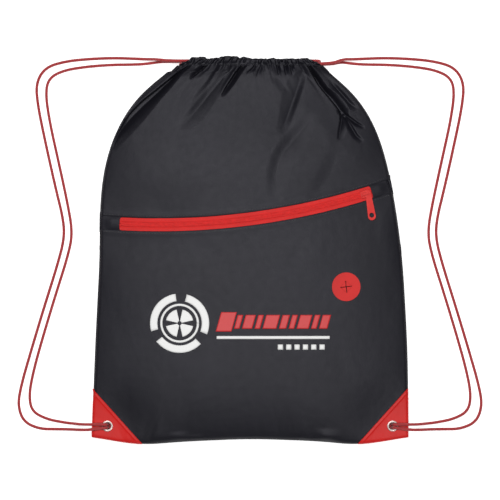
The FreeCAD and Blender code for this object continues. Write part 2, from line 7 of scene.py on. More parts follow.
import bmesh
import bpy
import numpy as np
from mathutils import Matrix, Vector
from mathutils.bvhtree import BVHTree


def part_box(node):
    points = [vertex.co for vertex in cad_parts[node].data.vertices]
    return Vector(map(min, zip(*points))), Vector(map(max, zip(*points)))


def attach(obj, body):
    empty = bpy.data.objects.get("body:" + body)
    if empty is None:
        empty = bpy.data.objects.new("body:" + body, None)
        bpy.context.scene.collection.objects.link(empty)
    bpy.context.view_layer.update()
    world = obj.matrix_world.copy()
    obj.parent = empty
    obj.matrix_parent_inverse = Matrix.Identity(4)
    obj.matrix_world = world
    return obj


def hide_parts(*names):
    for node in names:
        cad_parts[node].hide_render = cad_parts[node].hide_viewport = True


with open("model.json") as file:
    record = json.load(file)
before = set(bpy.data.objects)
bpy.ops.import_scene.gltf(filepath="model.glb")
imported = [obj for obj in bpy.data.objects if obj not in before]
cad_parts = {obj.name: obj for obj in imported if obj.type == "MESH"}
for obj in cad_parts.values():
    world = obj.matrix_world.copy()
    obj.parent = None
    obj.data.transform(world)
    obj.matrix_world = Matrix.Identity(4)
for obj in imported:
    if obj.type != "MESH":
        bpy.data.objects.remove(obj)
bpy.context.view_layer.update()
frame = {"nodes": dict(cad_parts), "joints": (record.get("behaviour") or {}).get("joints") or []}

MM = 0.001
SIDES = {-1: "left", 1: "right"}

# ---- Cords ----
# The CAD's own route, in mm, but for the lanes inside the hems: they lie a little nearer the bag here.
CORD_DIAMETER = 3.2 * MM
KNOT_TOP, LIP_Z = 7.0, 16.6
GROMMET = (154.6, -190.8)
LANE_Y, LANE_APART = 203.2, 1.65
FRONT_LANE_Z, BACK_LANE_Z = 18.0, 4.3
FLOOR_Z = 1.6  # the height of a cord's points that name none

OUTER_STRETCH = [
    (-100, 206.7, 13.6), (-113, 207.4, 5.2), (-128, 208.3), (-148, 209), (-174, 208), (-200, 205.5),
    (-222.5, 199), (-233, 182), (-231, 157), (-222, 114), (-211.5, 67), (-203.3, 34), (-202, 13),
    (-209.5, -16), (-224, -62), (-239, -112), (-249, -147), (-252.8, -169), (-246.5, -187), (-229, -194.8),
    (-210, -194.9), (-196, -195, 3.6), (-184, -195.2, 11), (-174.5, -194.9, 16.2)]
INNER_STRETCH = [
    (-99, 204.6, 2.6), (-110, 202.9), (-124, 201.8), (-150, 201.6), (-178, 199.5), (-203, 195.5), (-219, 187),
    (-222.6, 170.5), (-218, 139), (-208.8, 98), (-199, 53), (-193, 19), (-198, -6), (-212, -50), (-227, -100),
    (-236, -133), (-240.6, -158), (-237.5, -175.5), (-221.5, -184), (-202.5, -187.7), (-192, -188.7, 4),
    (-182, -189.2, 11.4), (-173, -189, 16.2)]


def cord_route(side):
    """Knot, grommet, outer stretch, front casing, turn, back casing, inner stretch, grommet, knot."""
    lane = LANE_Y - side * LANE_APART
    outer_hole, inner_hole = GROMMET[1] - 1.7, GROMMET[1] + 1.7
    up = [(-154.6, outer_hole, KNOT_TOP), (-154.6, outer_hole, 12), (-156.3, outer_hole, 17.2),
          (-163, outer_hole - 0.5, LIP_Z)]
    down = [(-163, inner_hole + 0.2, LIP_Z), (-156.3, inner_hole, 17.2), (-154.6, inner_hole, 12),
            (-154.6, inner_hole, KNOT_TOP)]
    turn_x, bend = 71.5, (1 - math.sqrt(0.5)) * (FRONT_LANE_Z - BACK_LANE_Z)
    hem = ((-88, lane), (-34, lane + 0.2), (23, lane - 0.2), (turn_x, lane))
    through = [(x, y, FRONT_LANE_Z) for x, y in hem]
    through += [(turn_x + bend, lane, FRONT_LANE_Z - bend), (turn_x + bend, lane, BACK_LANE_Z + bend)]
    through += [(x, y, BACK_LANE_Z) for x, y in hem[::-1]]
    route = up + OUTER_STRETCH[::-1] + through + INNER_STRETCH + down
    return [Vector((-side * x, y, *(z or [FLOOR_Z]))) * MM for x, y, *z in route]


# ---- Camera ----
VIEW_WIDTH, CAMERA_HEIGHT, SHARP_Z = 542.5 * MM, 3.0, 11 * MM


def make_camera():
    """Straight down over the middle of the bag, with +Y up the picture."""
    data = bpy.data.cameras.new("camera")
    data.lens = data.sensor_width * (CAMERA_HEIGHT - SHARP_Z) / VIEW_WIDTH
    data.clip_start, data.clip_end = 0.1, 20
    camera = bpy.data.objects.new("camera", data)
    camera.location = (0, 0, CAMERA_HEIGHT)
    bpy.context.scene.collection.objects.link(camera)
    bpy.context.scene.camera = camera


make_camera()


# ---- Reading the frame ----
def cad_mesh(node):
    mesh = frame["nodes"][node].data
    points = np.empty(len(mesh.vertices) * 3)
    mesh.vertices.foreach_get("co", points)
    edges = np.empty(len(mesh.edges) * 2, int)
    mesh.edges.foreach_get("vertices", edges)
    return points.reshape(-1, 3), edges.reshape(-1, 2)


def plan_limits(node, axis, values):
    """Lowest and highest other plan coordinate of a node, where axis (0 is x, 1 is y) has those values."""
    points, edges = cad_mesh(node)
    a, b = points[edges[:, 0]], points[edges[:, 1]]
    low, high = [], []
    for value in values:
        hit = (a[:, axis] - value) * (b[:, axis] - value) <= 0
        p, q = a[hit], b[hit]
        span = q[:, axis] - p[:, axis]
        level = np.abs(span) < 1e-9
        share = np.where(level, 0.0, (value - p[:, axis]) / np.where(level, 1.0, span))
        other = p[:, 1 - axis] + share * (q[:, 1 - axis] - p[:, 1 - axis])
        low.append(other.min())
        high.append(other.max())
    return np.array(low), np.array(high)


def surface_of(obj):
    mesh = obj.data
    return BVHTree.FromPolygons([v.co for v in mesh.vertices], [p.vertices for p in mesh.polygons])


def heights(tree, x, y, from_above=True):
    """Height of the first surface met over or under each plan point, and nan where there is none."""
    start, down = (1.0, -1.0) if from_above else (-1.0, 1.0)
    flat = []
    for px, py in zip(np.ravel(x), np.ravel(y)):
        hit = tree.ray_cast(Vector((px, py, start)), Vector((0, 0, down)))[0]
        flat.append(hit.z if hit else np.nan)
    return np.array(flat).reshape(np.shape(x))


MOUTH_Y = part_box("front_upper_panel")[1].y
HEM_Y = MOUTH_Y + 6.8 * MM  # the stitch line under the cords' tunnel
BODY_YS = np.linspace(-202.0, MOUTH_Y / MM - 0.1, 160) * MM
HEM_YS = np.linspace(MOUTH_Y / MM + 0.5, MOUTH_Y / MM + 17.0, 12) * MM
EDGE_YS = np.concatenate([BODY_YS, HEM_YS])
LEFT_XS, RIGHT_XS = [np.concatenate(both) for both in
                     zip(plan_limits("back_panel", 1, BODY_YS), plan_limits("front_casing", 1, HEM_YS))]
PLAN_XS = np.linspace(-171.0, 171.0, 200) * MM
BOTTOM_YS = plan_limits("back_panel", 0, PLAN_XS)[0]
ZIP_XS = np.linspace(-163.0, 156.0, 200) * MM


def safe_limits(node, values, which):
    """plan_limits along x, where the node may be narrower than the values."""
    low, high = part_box(node)
    inside = np.clip(values, low.x + 0.2 * MM, high.x - 0.2 * MM)
    return plan_limits(node, 0, inside)[which]


def line_through(places, values):
    """The edge, as a function of the other plan coordinate, through those places and values."""
    return lambda at: np.interp(at, places, values)


left_x, right_x = line_through(EDGE_YS, LEFT_XS), line_through(EDGE_YS, RIGHT_XS)
bottom_y = line_through(PLAN_XS, BOTTOM_YS)
pocket_top_y = line_through(ZIP_XS, safe_limits("front_pocket_panel", ZIP_XS, 1))
upper_low_y = line_through(ZIP_XS, safe_limits("front_upper_panel", ZIP_XS, 0))


def hem_y(x):
    return np.full(np.shape(x), HEM_Y)


def at_share(share, y):
    return left_x(y) + (right_x(y) - left_x(y)) * share


def column_line(share, line):
    """Where each column, at its share of the bag's width, crosses a line across the bag."""
    y = np.zeros(np.shape(share))
    for _ in range(12):
        y = line(at_share(share, y))
    return y


def plan_grid(low_line, high_line, columns, rows, row_shape=lambda t: t):
    """Plan positions of a panel's grid: one row per step from the low line to the high line."""
    share = np.linspace(0, 1, columns)
    low, high = column_line(share, low_line), column_line(share, high_line)
    t = row_shape(np.linspace(0, 1, rows))[:, None]
    y = low + (high - low) * t
    x = at_share(share[None, :] + 0 * y, y)
    return x, y, np.broadcast_to(share, x.shape), np.broadcast_to(t, x.shape)


def fill_nan(z):
    """Missing heights take their nearest neighbour's along the row, then along the column."""
    z = z.copy()
    for grid in (z, z.T):
        for row in grid:
            good = ~np.isnan(row)
            if good.any() and not good.all():
                row[~good] = np.interp(np.flatnonzero(~good), np.flatnonzero(good), row[good])
    return z


# ---- Meshes ----
def link(obj):
    bpy.context.scene.collection.objects.link(obj)
    return obj


def mesh_object(name, points, faces, uvs=None, smooth=True):
    """A mesh whose flat coordinates, if any, are given for each point or for each face's corner."""
    mesh = bpy.data.meshes.new(name)
    mesh.from_pydata([tuple(p) for p in points], [], [tuple(f) for f in faces])
    if uvs is not None:
        uvs = np.asarray(uvs, float)
        if len(uvs) != len(mesh.loops):
            corner = np.empty(len(mesh.loops), int)
            mesh.loops.foreach_get("vertex_index", corner)
            uvs = uvs[corner]
        mesh.uv_layers.new(name="UVMap").data.foreach_set("uv", uvs.ravel())
    mesh.polygons.foreach_set("use_smooth", [smooth] * len(mesh.polygons))
    mesh.update()
    return link(bpy.data.objects.new(name, mesh))


def grid_faces(rows, columns, wrap=False, keep=None):
    """Quads of a grid of points stored row by row; wrap joins the last row to the first."""
    faces = []
    for j in range(rows if wrap else rows - 1):
        for i in range(columns - 1):
            k = (j + 1) % rows
            if keep is None or (keep[j, i] and keep[j, i + 1] and keep[k, i] and keep[k, i + 1]):
                faces.append((j * columns + i, j * columns + i + 1, k * columns + i + 1, k * columns + i))
    return faces


def grid_object(name, x, y, z, u, v, wrap=False, keep=None):
    """A mesh from a grid of points, with the cloth's own flat coordinates, in metres, as its UVs."""
    points = np.stack([x, y, z], -1).reshape(-1, 3)
    uvs = np.stack([np.broadcast_to(u, x.shape), np.broadcast_to(v, x.shape)], -1).reshape(-1, 2)
    obj = mesh_object(name, points, grid_faces(*x.shape, wrap=wrap, keep=keep), uvs)
    if keep is not None:
        drop_loose(obj)
    return obj


def drop_loose(obj):
    """Deletes the points that no face uses."""
    work = bmesh.new()
    work.from_mesh(obj.data)
    bmesh.ops.delete(work, geom=[v for v in work.verts if not v.link_faces], context="VERTS")
    work.to_mesh(obj.data)
    work.free()


def thicken(obj, thickness, offset=-1.0):
    solid = obj.modifiers.new("thickness", "SOLIDIFY")
    solid.thickness, solid.offset = thickness, offset
    return obj


def ease(t):
    t = np.clip(t, 0, 1)
    return t * t * (3 - 2 * t)


def bump(t):
    """1 at 0, falling smoothly to 0 at -1 and 1."""
    t = np.clip(np.abs(t), 0, 1)
    return (1 - t * t) ** 2


# ---- Materials ----
class Nodes:
    """A material's node tree."""

    def __init__(self, name):
        self.material = bpy.data.materials.new(name)
        self.material.use_nodes = True
        self.tree = self.material.node_tree
        self.shader = self.tree.nodes["Principled BSDF"]

    def add(self, kind, inputs, **settings):
        node = self.tree.nodes.new(kind)
        for key, value in settings.items():
            setattr(node, key, value)
        for key, value in inputs.items():
            self.give(node, key, value)
        return node

    def give(self, node, key, value):
        if isinstance(value, bpy.types.NodeSocket):
            self.tree.links.new(value, node.inputs[key])
        else:
            node.inputs[key].default_value = value

    def math(self, operation, a, b=0.0):
        return self.add("ShaderNodeMath", {0: a, 1: b}, operation=operation).outputs[0]

    def coordinates(self, kind):
        return self.add("ShaderNodeTexCoord", {}).outputs[kind]

    def mapped(self, vector, scale=(1, 1, 1), turn=0.0):
        inputs = {"Vector": vector, "Scale": scale, "Rotation": (0, 0, turn)}
        return self.add("ShaderNodeMapping", inputs).outputs[0]

    def noise(self, vector, scale, detail=2.0, roughness=0.5):
        inputs = {"Vector": vector, "Scale": scale, "Detail": detail, "Roughness": roughness}
        return self.add("ShaderNodeTexNoise", inputs).outputs["Fac"]

    def ramp(self, value, stops):
        node = self.add("ShaderNodeValToRGB", {"Fac": value})
        ramp = node.color_ramp
        while len(ramp.elements) < len(stops):
            ramp.elements.new(0.5)
        for element, (place, colour) in zip(ramp.elements, stops):
            element.position, element.color = place, (*colour, 1)
        return node.outputs["Color"]

    def mottled(self, noise, colour, low, high, stops=(0.3, 0.7)):
        """The colour, from low to high times its brightness, as the noise goes from stop to stop."""
        return self.ramp(noise, [(stop, [c * k for c in colour]) for stop, k in zip(stops, (low, high))])

    def scaled(self, value, factor, least):
        return self.math("ADD", self.math("MULTIPLY", value, factor), least)

    def bumped(self, height, distance, strength=1.0, normal=None):
        inputs = {"Height": height, "Distance": distance, "Strength": strength}
        if normal:
            inputs["Normal"] = normal
        return self.add("ShaderNodeBump", inputs).outputs[0]

    def finish(self, **values):
        for key, value in values.items():
            self.give(self.shader, key.replace("_", " "), value)
        return self.material


def weave_height(m, vector, pitch):
    """Two families of threads that pass over and under each other."""
    separate = m.add("ShaderNodeSeparateXYZ", {"Vector": vector})
    turns = 2 * math.pi / pitch
    across = m.math("SINE", m.math("MULTIPLY", separate.outputs[0], turns))
    along = m.math("SINE", m.math("MULTIPLY", separate.outputs[1], turns))
    return m.math("MULTIPLY", across, along)


THREAD_PITCH = 0.56 * MM
CHARCOAL = (0.0072, 0.0070, 0.0105)
RED_VINYL, RED_TAPE = (0.60, 0.014, 0.012), (0.66, 0.022, 0.020)
RED_PAINT, RED_CORD = (0.70, 0.036, 0.032), (0.42, 0.024, 0.028)


def polyester(name, level=1.0):
    """Charcoal polyester: a fine plain weave with faint crinkles."""
    m = Nodes(name)
    vector = m.coordinates("UV")
    colour = m.mottled(m.noise(vector, 9.0, 3.0, 0.6), CHARCOAL, 0.86 * level, 1.16 * level)
    crinkle = m.noise(vector, 130.0, 4.0, 0.55)
    ripple = m.noise(m.mapped(vector, (1.0, 0.45, 1.0), 0.5), 34.0, 2.0, 0.5)
    normal = m.bumped(ripple, 1.1 * MM, 0.5)
    normal = m.bumped(crinkle, 0.22 * MM, 0.6, normal)
    normal = m.bumped(weave_height(m, vector, THREAD_PITCH), 0.025 * MM, 0.6, normal)
    return m.finish(Base_Color=colour, Roughness=m.scaled(crinkle, 0.12, 0.46), Normal=normal,
                    Specular_IOR_Level=0.28, Specular_Tint=(0.93, 0.92, 1.0, 1.0))


def vinyl():
    """Red imitation leather with a fine pebbled grain."""
    m = Nodes("red_vinyl")
    vector = m.coordinates("Object")
    cells = m.add("ShaderNodeTexVoronoi", {"Vector": vector, "Scale": 950.0}, feature="SMOOTH_F1")
    pebble = cells.outputs["Distance"]
    colour = m.mottled(m.noise(vector, 26.0, 3.0, 0.6), RED_VINYL, 0.9, 1.06)
    normal = m.bumped(m.noise(vector, 60.0, 2.0), 0.5 * MM, 0.35)
    normal = m.bumped(pebble, 0.12 * MM, 0.5, normal)
    return m.finish(Base_Color=colour, Roughness=m.scaled(pebble, 0.2, 0.38), Normal=normal,
                    Specular_IOR_Level=0.2)


def zipper_cloth():
    """Red zipper tape: ribs along the tape and a slanted twill across them."""
    m = Nodes("red_zipper_tape")
    vector = m.coordinates("UV")
    rib = m.add("ShaderNodeTexWave", {"Vector": vector, "Scale": 210.0, "Distortion": 0.4}, bands_direction="Y")
    slanted = m.mapped(vector, turn=0.8)
    twill = m.add("ShaderNodeTexWave", {"Vector": slanted, "Scale": 330.0}, bands_direction="X")
    height = m.math("ADD", rib.outputs["Fac"], m.math("MULTIPLY", twill.outputs["Fac"], 0.5))
    return m.finish(Base_Color=m.mottled(m.noise(vector, 40.0, 3.0), RED_TAPE, 0.9, 1.08), Roughness=0.72,
                    Normal=m.bumped(height, 0.08 * MM, 0.6), Sheen_Weight=0.05, Specular_IOR_Level=0.25)


def nylon():
    m = Nodes("red_nylon_coil")
    cloudy = m.noise(m.coordinates("Object"), 300.0, 3.0)
    return m.finish(Base_Color=m.mottled(cloudy, RED_TAPE, 1.05, 1.25), Roughness=0.45, Specular_IOR_Level=0.3)


def paint():
    """Red semi-gloss paint on die-cast metal."""
    m = Nodes("red_painted_metal")
    vector = m.coordinates("Object")
    cloudy = m.noise(vector, 180.0, 4.0, 0.6)
    return m.finish(Base_Color=m.mottled(cloudy, RED_PAINT, 0.88, 1.1, (0.25, 0.75)),
                    Roughness=m.scaled(cloudy, 0.15, 0.24),
                    Normal=m.bumped(m.noise(vector, 900.0, 2.0), 0.05 * MM, 0.4),
                    Specular_IOR_Level=0.35, Coat_Weight=0.12, Coat_Roughness=0.15)


def rubber():
    m = Nodes("red_port_rubber")
    vector = m.coordinates("Object")
    return m.finish(Base_Color=m.mottled(m.noise(vector, 60.0, 2.0), RED_VINYL, 0.93, 1.06), Roughness=0.5,
                    Normal=m.bumped(m.noise(vector, 1500.0, 3.0, 0.6), 0.05 * MM, 0.5), Specular_IOR_Level=0.25)


def nickel():
    """Satin nickel plate, a little smudged."""
    m = Nodes("nickel_plate")
    smudge = m.noise(m.coordinates("Object"), 400.0, 3.0, 0.6)
    colour = m.ramp(smudge, [(0.3, (0.36, 0.29, 0.27)), (0.7, (0.46, 0.38, 0.36))])
    return m.finish(Base_Color=colour, Roughness=m.scaled(smudge, 0.18, 0.36), Metallic=1.0)


def braid():
    """Red braided cord: strands cross in a diamond pattern, with painted shade in the hollows between them and
    painted highlight on their crowns.
    """
    m = Nodes("red_cord")
    separate = m.add("ShaderNodeSeparateXYZ", {"Vector": m.coordinates("UV")})
    turns = m.math("MULTIPLY", separate.outputs[0], 8 * 2 * math.pi)
    travel = m.math("MULTIPLY", separate.outputs[1], 2 * math.pi / (1.5 * MM))
    one, other = [m.math("SINE", m.math(way, turns, travel)) for way in ("ADD", "SUBTRACT")]
    height = m.math("MULTIPLY", one, other)
    # painted shade and painted highlight: the colour darkens where the braid's relief is low and lightens where
    # it is high
    colour = m.mottled(m.scaled(height, 0.25, 0.5), RED_CORD, 0.78, 1.15, (0.2, 0.8))
    normal = m.bumped(height, 0.12 * MM, 0.8)
    return m.finish(Base_Color=colour, Roughness=0.62, Normal=normal, Sheen_Weight=0.2)


def thread(name, colour):
    m = Nodes(name)
    twist = m.noise(m.coordinates("Object"), 1200.0, 2.0)
    return m.finish(Base_Color=m.mottled(twist, colour, 0.8, 1.2), Roughness=0.6, Sheen_Weight=0.2)


def ink(name, colour):
    """Printed film: nearly even, with a trace of the weave under it."""
    m = Nodes(name)
    vector = m.coordinates("UV")
    normal = m.bumped(weave_height(m, vector, THREAD_PITCH), 0.012 * MM, 0.4)
    return m.finish(Base_Color=m.mottled(m.noise(vector, 900.0, 2.0), colour, 0.94, 1.0), Roughness=0.5,
                    Normal=normal)


# Each material, and the slot of the pieces that wear it; the CAD pieces that stay have their own slots.
MATERIALS = {
    "cloth": (polyester("charcoal_polyester"), "charcoal_polyester"),
    "dark_cloth": (polyester("charcoal_lining", 0.8), "charcoal_polyester"),
    "vinyl": (vinyl(), "red_vinyl"),
    "tape": (zipper_cloth(), "red_zipper_tape"),
    "coil": (nylon(), "red_nylon_coil"),
    "paint": (paint(), None),
    "rubber": (rubber(), None),
    "nickel": (nickel(), None),
    "cord": (braid(), "red_cord"),
    "dark_thread": (thread("dark_thread", (0.020, 0.020, 0.023)), "charcoal_polyester"),
    "red_thread": (thread("red_thread", (0.50, 0.030, 0.027)), "red_zipper_tape"),
    "white_ink": (ink("white_print", (0.86, 0.86, 0.85)), "charcoal_polyester"),
    "red_ink": (ink("red_print", (0.60, 0.020, 0.022)), "charcoal_polyester"),
}


def paint_over(data, name):
    data.materials.clear()
    data.materials.append(MATERIALS[name][0])


def dress(obj, name, node=None):
    """Gives a piece its material, and the place of the CAD node it stands for; all ride the bag."""
    if node:
        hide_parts(node)
    paint_over(obj.data, name)
    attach(obj, "bag")
    return obj


# ---- Folds ----
def along_path(x, y, path):
    """Share along a path of plan points (mm), and distance from it in mm, positive on its left-hand side."""
    px, py = x / MM, y / MM
    points = np.array(path, float)
    steps = np.diff(points, axis=0)
    lengths = np.hypot(steps[:, 0], steps[:, 1])
    total, before = lengths.sum(), np.concatenate([[0], np.cumsum(lengths)])
    best = np.full(np.shape(x), 1e9)
    share, side = np.zeros(np.shape(x)), np.zeros(np.shape(x))
    for k, ((ax, ay), (dx, dy)) in enumerate(zip(points[:-1], steps)):
        t = np.clip(((px - ax) * dx + (py - ay) * dy) / lengths[k] ** 2, 0, 1)
        ox, oy = px - ax - t * dx, py - ay - t * dy
        away = np.hypot(ox, oy)
        nearer = away < best
        best = np.where(nearer, away, best)
        share = np.where(nearer, (before[k] + t * lengths[k]) / total, share)
        side = np.where(nearer, np.where(dx * oy - dy * ox >= 0, 1, -1) * away, side)
    return share, side


def spread_along(share, values):
    return np.interp(share, np.linspace(0, 1, len(values)), values)


def fold(x, y, path, depths, steep, near, far, lip=0.0, sharp=0.75):
    """Height in mm of a fold whose bottom runs along the path, with those depths along it.

    On its steep side (1 left-hand, -1 right-hand) the cloth climbs out within near mm and may stand up in a
    lip. On the other it climbs over far mm, given along the path, to a crease as straight as sharp says.
    """
    share, side = along_path(x, y, path)
    depth, reach = spread_along(share, depths), spread_along(share, far)
    out = side * steep
    wall = 1 - ease(out / near)
    ramp = np.clip(1 + out / reach, 0, 1)
    ramp = sharp * ramp + (1 - sharp) * ramp**3
    rim = lip * depth * np.exp(-(((out - 1.6 * near) / (1.1 * near)) ** 2))
    return np.where(out > 0, -depth * wall + rim * ease(out / near), -depth * ramp)


# The front's folds in mm, from left to right: what fold() is told after x and y.
FOLDS = [
    ([(-66, 199), (-78, 191.5), (-88.5, 183), (-102.5, 171.6), (-116.5, 160.5), (-128, 149), (-135, 140),
      (-143, 126), (-148.5, 112)], [4, 8, 12, 15, 16, 15, 12, 7, 1.5], -1, 1.6,
     [3, 5, 8, 10.3, 14, 15.5, 15, 11.5, 6], 0.05, 0.4),
    ([(-44, 203), (-52, 196), (-60, 190), (-66, 185)], [6.5, 7, 5.5, 0], 1, 1.8, [3.5, 4.5, 4.5, 3], 0.15),
    ([(-8, 203), (-26, 190.7), (-45, 167), (-62, 146), (-76, 130)], [2.0, 2.8, 3.0, 2.2, 0], -1, 8.0,
     [7, 9, 10, 12, 8], 0.1),
    ([(-30, 199), (-42, 182), (-57, 164), (-64, 155)], [2.2, 2.0, 1.3, 0], -1, 5.5, [5, 7, 7, 5], 0.05),
    ([(-1, 209), (-9, 199), (-16, 190), (-24, 178), (-31, 166)], [6.5, 8, 8, 6, 0], -1, 1.6,
     [3.5, 4.5, 5.5, 5, 3], 0.15),
    ([(8, 204), (4, 197), (-4, 190)], [3.5, 3, 0], -1, 1.4, [3, 3, 3], 0.3),
    ([(14, 203), (10, 194), (7, 187)], [2.5, 2, 0], -1, 1.4, [3, 3, 3], 0.2),
    ([(9, 200), (20, 196), (31, 186), (40, 174), (46, 166)], [0.2, 0.7, 1.0, 0.8, 0], -1, 9.0, [6, 7, 8, 9, 8],
     0.2),
    ([(28, 207), (30, 197), (31.5, 189)], [6.5, 5.5, 0], -1, 1.3, [3.5, 3.5, 3], 0.2),
    ([(36.5, 207), (38, 197), (39.5, 189)], [6.5, 5.5, 0], -1, 1.3, [3.5, 3.5, 3], 0.2),
    ([(43, 206), (44.5, 197), (46, 189.5)], [5.5, 5, 0], -1, 1.3, [3.5, 3.5, 3], 0.2),
    ([(57, 196), (52, 178), (44, 155), (36, 133), (33, 126)], [1.2, 2.8, 2.9, 2.0, 0], 1, 7.5,
     [9, 13, 13, 9, 6], 0.1),
    ([(71, 147), (60, 134), (48, 120), (37, 107), (32, 97), (29, 84), (28, 62)],
     [0, 1.2, 2.0, 2.1, 1.7, 1.4, 0.6], -1, 12.0, [6, 10, 14, 15, 15, 14, 11], 0.0),
    ([(61, 203), (67.8, 192), (74.5, 180), (81.5, 171.5), (89, 162.5), (98.5, 150.5), (99, 140), (97, 130),
      (95.5, 119)], [5, 9, 14, 13, 16, 15, 8, 4, 0], -1, 1.7, [3, 3.5, 6, 5.5, 9, 9.5, 8, 7, 6], 0.0, 0.5),
    ([(99, 151), (107, 144), (115, 138), (124, 132.5)], [8, 7, 5, 0], 1, 1.6, [5, 5, 4, 3]),
    ([(103, 144), (108, 136), (115, 124), (122.5, 117)], [4, 4.5, 3.5, 0], 1, 2.2, [4, 5, 5, 4]),
    ([(86, 183), (94, 174.5), (101, 167), (108, 159), (117, 151.5)], [0, 2.4, 3.2, 2.6, 0], 1, 4.0,
     [4, 5, 6, 6, 4], 0.05),
    ([(96, 120), (93, 100), (85, 78), (72, 60)], [0.2, 0.7, 0.9, 0.5], -1, 15.0, [10, 22, 26, 22]),
]


def gathers(seed, count, least, most):
    """Small pleats at the hem: (share of the width, width in shares, height in mm, reach down in mm)."""
    draw = random.Random(seed)
    widths = [draw.uniform(0.5, 1.6) for _ in range(count)]
    made, share = [], 0.0
    for k, w in enumerate(widths):
        width = w / sum(widths)
        height = draw.uniform(least, most) * (1 if k % 2 else -1)
        made.append((share + width / 2, width, height, draw.choice((4, 5, 7, 9, 12, 22))))
        share += width
    return made


def gathered(share, below, made):
    """Height, in mm, of the gathers at a share of the width and at that distance (mm) below the hem."""
    z = np.zeros(np.broadcast(share, below).shape)
    for centre, width, height, reach in made:
        wide = width * (0.6 + 0.55 * np.clip(below, 0, 60) / 60)
        fading = np.exp(-np.clip(below, 0, None) / reach)
        z = z + height * np.exp(-(((share - centre) / wide) ** 2) * 3.0) * fading
    return z


FRONT_GATHERS, BACK_GATHERS = gathers(5, 40, 0.3, 1.3), gathers(8, 44, 0.6, 2.0)


def broad_waves(seed, count, height):
    """Broad undulations: centre, size along and across, turn and height, all in mm and radians."""
    draw = random.Random(seed)
    return [(draw.uniform(-160, 160), draw.uniform(-200, 170), draw.uniform(24, 70), draw.uniform(8, 20),
             draw.uniform(-0.9, 0.9) + math.pi / 2, draw.uniform(-height, height)) for _ in range(count)]


FRONT_WAVES, BACK_WAVES = broad_waves(23, 60, 0.55), broad_waves(29, 60, 0.8)


def waved(x, y, waves):
    z = np.zeros(np.shape(x))
    for cx, cy, along, across, turn, height in waves:
        dx, dy = x / MM - cx, y / MM - cy
        u = (dx * math.cos(turn) + dy * math.sin(turn)) / along
        v = (-dx * math.sin(turn) + dy * math.cos(turn)) / across
        z = z + height * np.exp(-u * u - v * v)
    return z


# ---- Panels ----
CLOTH = 0.35 * MM
FLAT_WIDTH = 343 * MM
PORT_LOW, PORT_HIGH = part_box("earbud_port_disc")
PORT = ((PORT_LOW.x + PORT_HIGH.x) / 2, (PORT_LOW.y + PORT_HIGH.y) / 2)
PORT_HOLE, CLOTH_HOLE, VINYL_HOLE = 9.5 * MM, 4.7 * MM, 4.6 * MM
CORNER_X = 171.6 * MM
SEAM_Z, SIDE_MOUTH_Z = 11.4 * MM, 15.5 * MM
FRONT_HEM_Z, BACK_HEM_Z = 20.5 * MM, 4.3 * MM
LOWEST_FRONT_Z = 6.4 * MM
EDGE_INSET = 0.4 * MM


def away_from(x, y, place):
    return np.hypot(x - place[0], y - place[1])


def from_grommets(x, y):
    """Distance from the nearer corner grommet."""
    return np.minimum(*[away_from(x, y, (side * GROMMET[0] * MM, GROMMET[1] * MM)) for side in (-1, 1)])


def side_distance(x, y):
    return np.minimum(x - left_x(y), right_x(y) - x)


def edge_distance(x, y):
    """Distance from the side edges and from the bottom edge."""
    return np.minimum(side_distance(x, y), y - bottom_y(x))


def pressed_edge(y, edge_y):
    """Height in mm of the low ridge where a panel's edge is turned under along the zipper."""
    return 0.35 * np.exp(-(((y - edge_y) / MM - 2.5) / 2.6) ** 2)


def turned_hem(x, y, z, share, t, low_end, depth=4.0):
    """Adds rows that roll the first or last edge under itself, like a pressed hem."""
    edge, inward = (0, 1) if low_end else (-1, -1)
    rolls = ((-0.30, 0.20), (-0.38, 0.60), (-0.10, 0.95), (0.9, 1.1), (depth, 1.1))
    rows = [(x[edge], y[edge] + inward * back * MM, z[edge] - drop * MM, share[edge], t[edge])
            for back, drop in rolls]
    pairs = zip([np.array(column) for column in zip(*rows)], (x, y, z, share, t))
    return [np.concatenate([added[::-1], grid] if low_end else [grid, added]) for added, grid in pairs]


def to_seam(z, away, seam_z, reach=3.5):
    """Brings the cloth down, or up, to the seam over the last few millimetres."""
    return z + (seam_z - z) * (1 - np.clip(away / (reach * MM), 0, 1)) ** 2.2


def near_mouth(y):
    return ease((y - (MOUTH_Y - 8 * MM)) / (HEM_Y - MOUTH_Y + 8 * MM))


def sampled(node, share, y, from_above=True):
    """The CAD node's height under a panel's grid, taken a little inside its edges."""
    inside = np.clip(y, None, MOUTH_Y - EDGE_INSET)
    inside[0] += EDGE_INSET
    inside[-1] = np.minimum(inside[-1], y[-1] - EDGE_INSET)
    x = at_share(0.004 + 0.992 * share, inside)
    return fill_nan(heights(surface_of(frame["nodes"][node]), x, inside, from_above))


def upper_panel():
    columns, rows = ((301, 158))
    x, y, share, t = plan_grid(upper_low_y, hem_y, columns, rows, lambda t: 1 - (1 - t) ** 1.1)
    z = sampled("front_upper_panel", share, y)
    z = z + (FRONT_HEM_Z - z) * near_mouth(y) * ease(side_distance(x, y) / (14 * MM))
    relief = gathered(share, (HEM_Y - y) / MM, FRONT_GATHERS) + waved(x, y, FRONT_WAVES)
    relief += pressed_edge(y, upper_low_y(x))
    calm = ease((y - upper_low_y(x)) / (9 * MM)) * 0.85 + 0.15
    for one in FOLDS:
        relief = relief + fold(x, y, *one) * calm
    relief *= 0.1 + 0.9 * ease(side_distance(x, y) / (3 * MM))
    z = np.maximum(z + relief * MM, LOWEST_FRONT_Z)
    z = to_seam(z, side_distance(x, y), SEAM_Z + (SIDE_MOUTH_Z - SEAM_Z) * near_mouth(y))
    x, y, z, share, t = turned_hem(x, y, z, share, t, True)
    obj = thicken(grid_object("front_upper_cloth", x, y, z, share * FLAT_WIDTH, t * 0.17), CLOTH)
    return dress(obj, "cloth", "front_upper_panel")


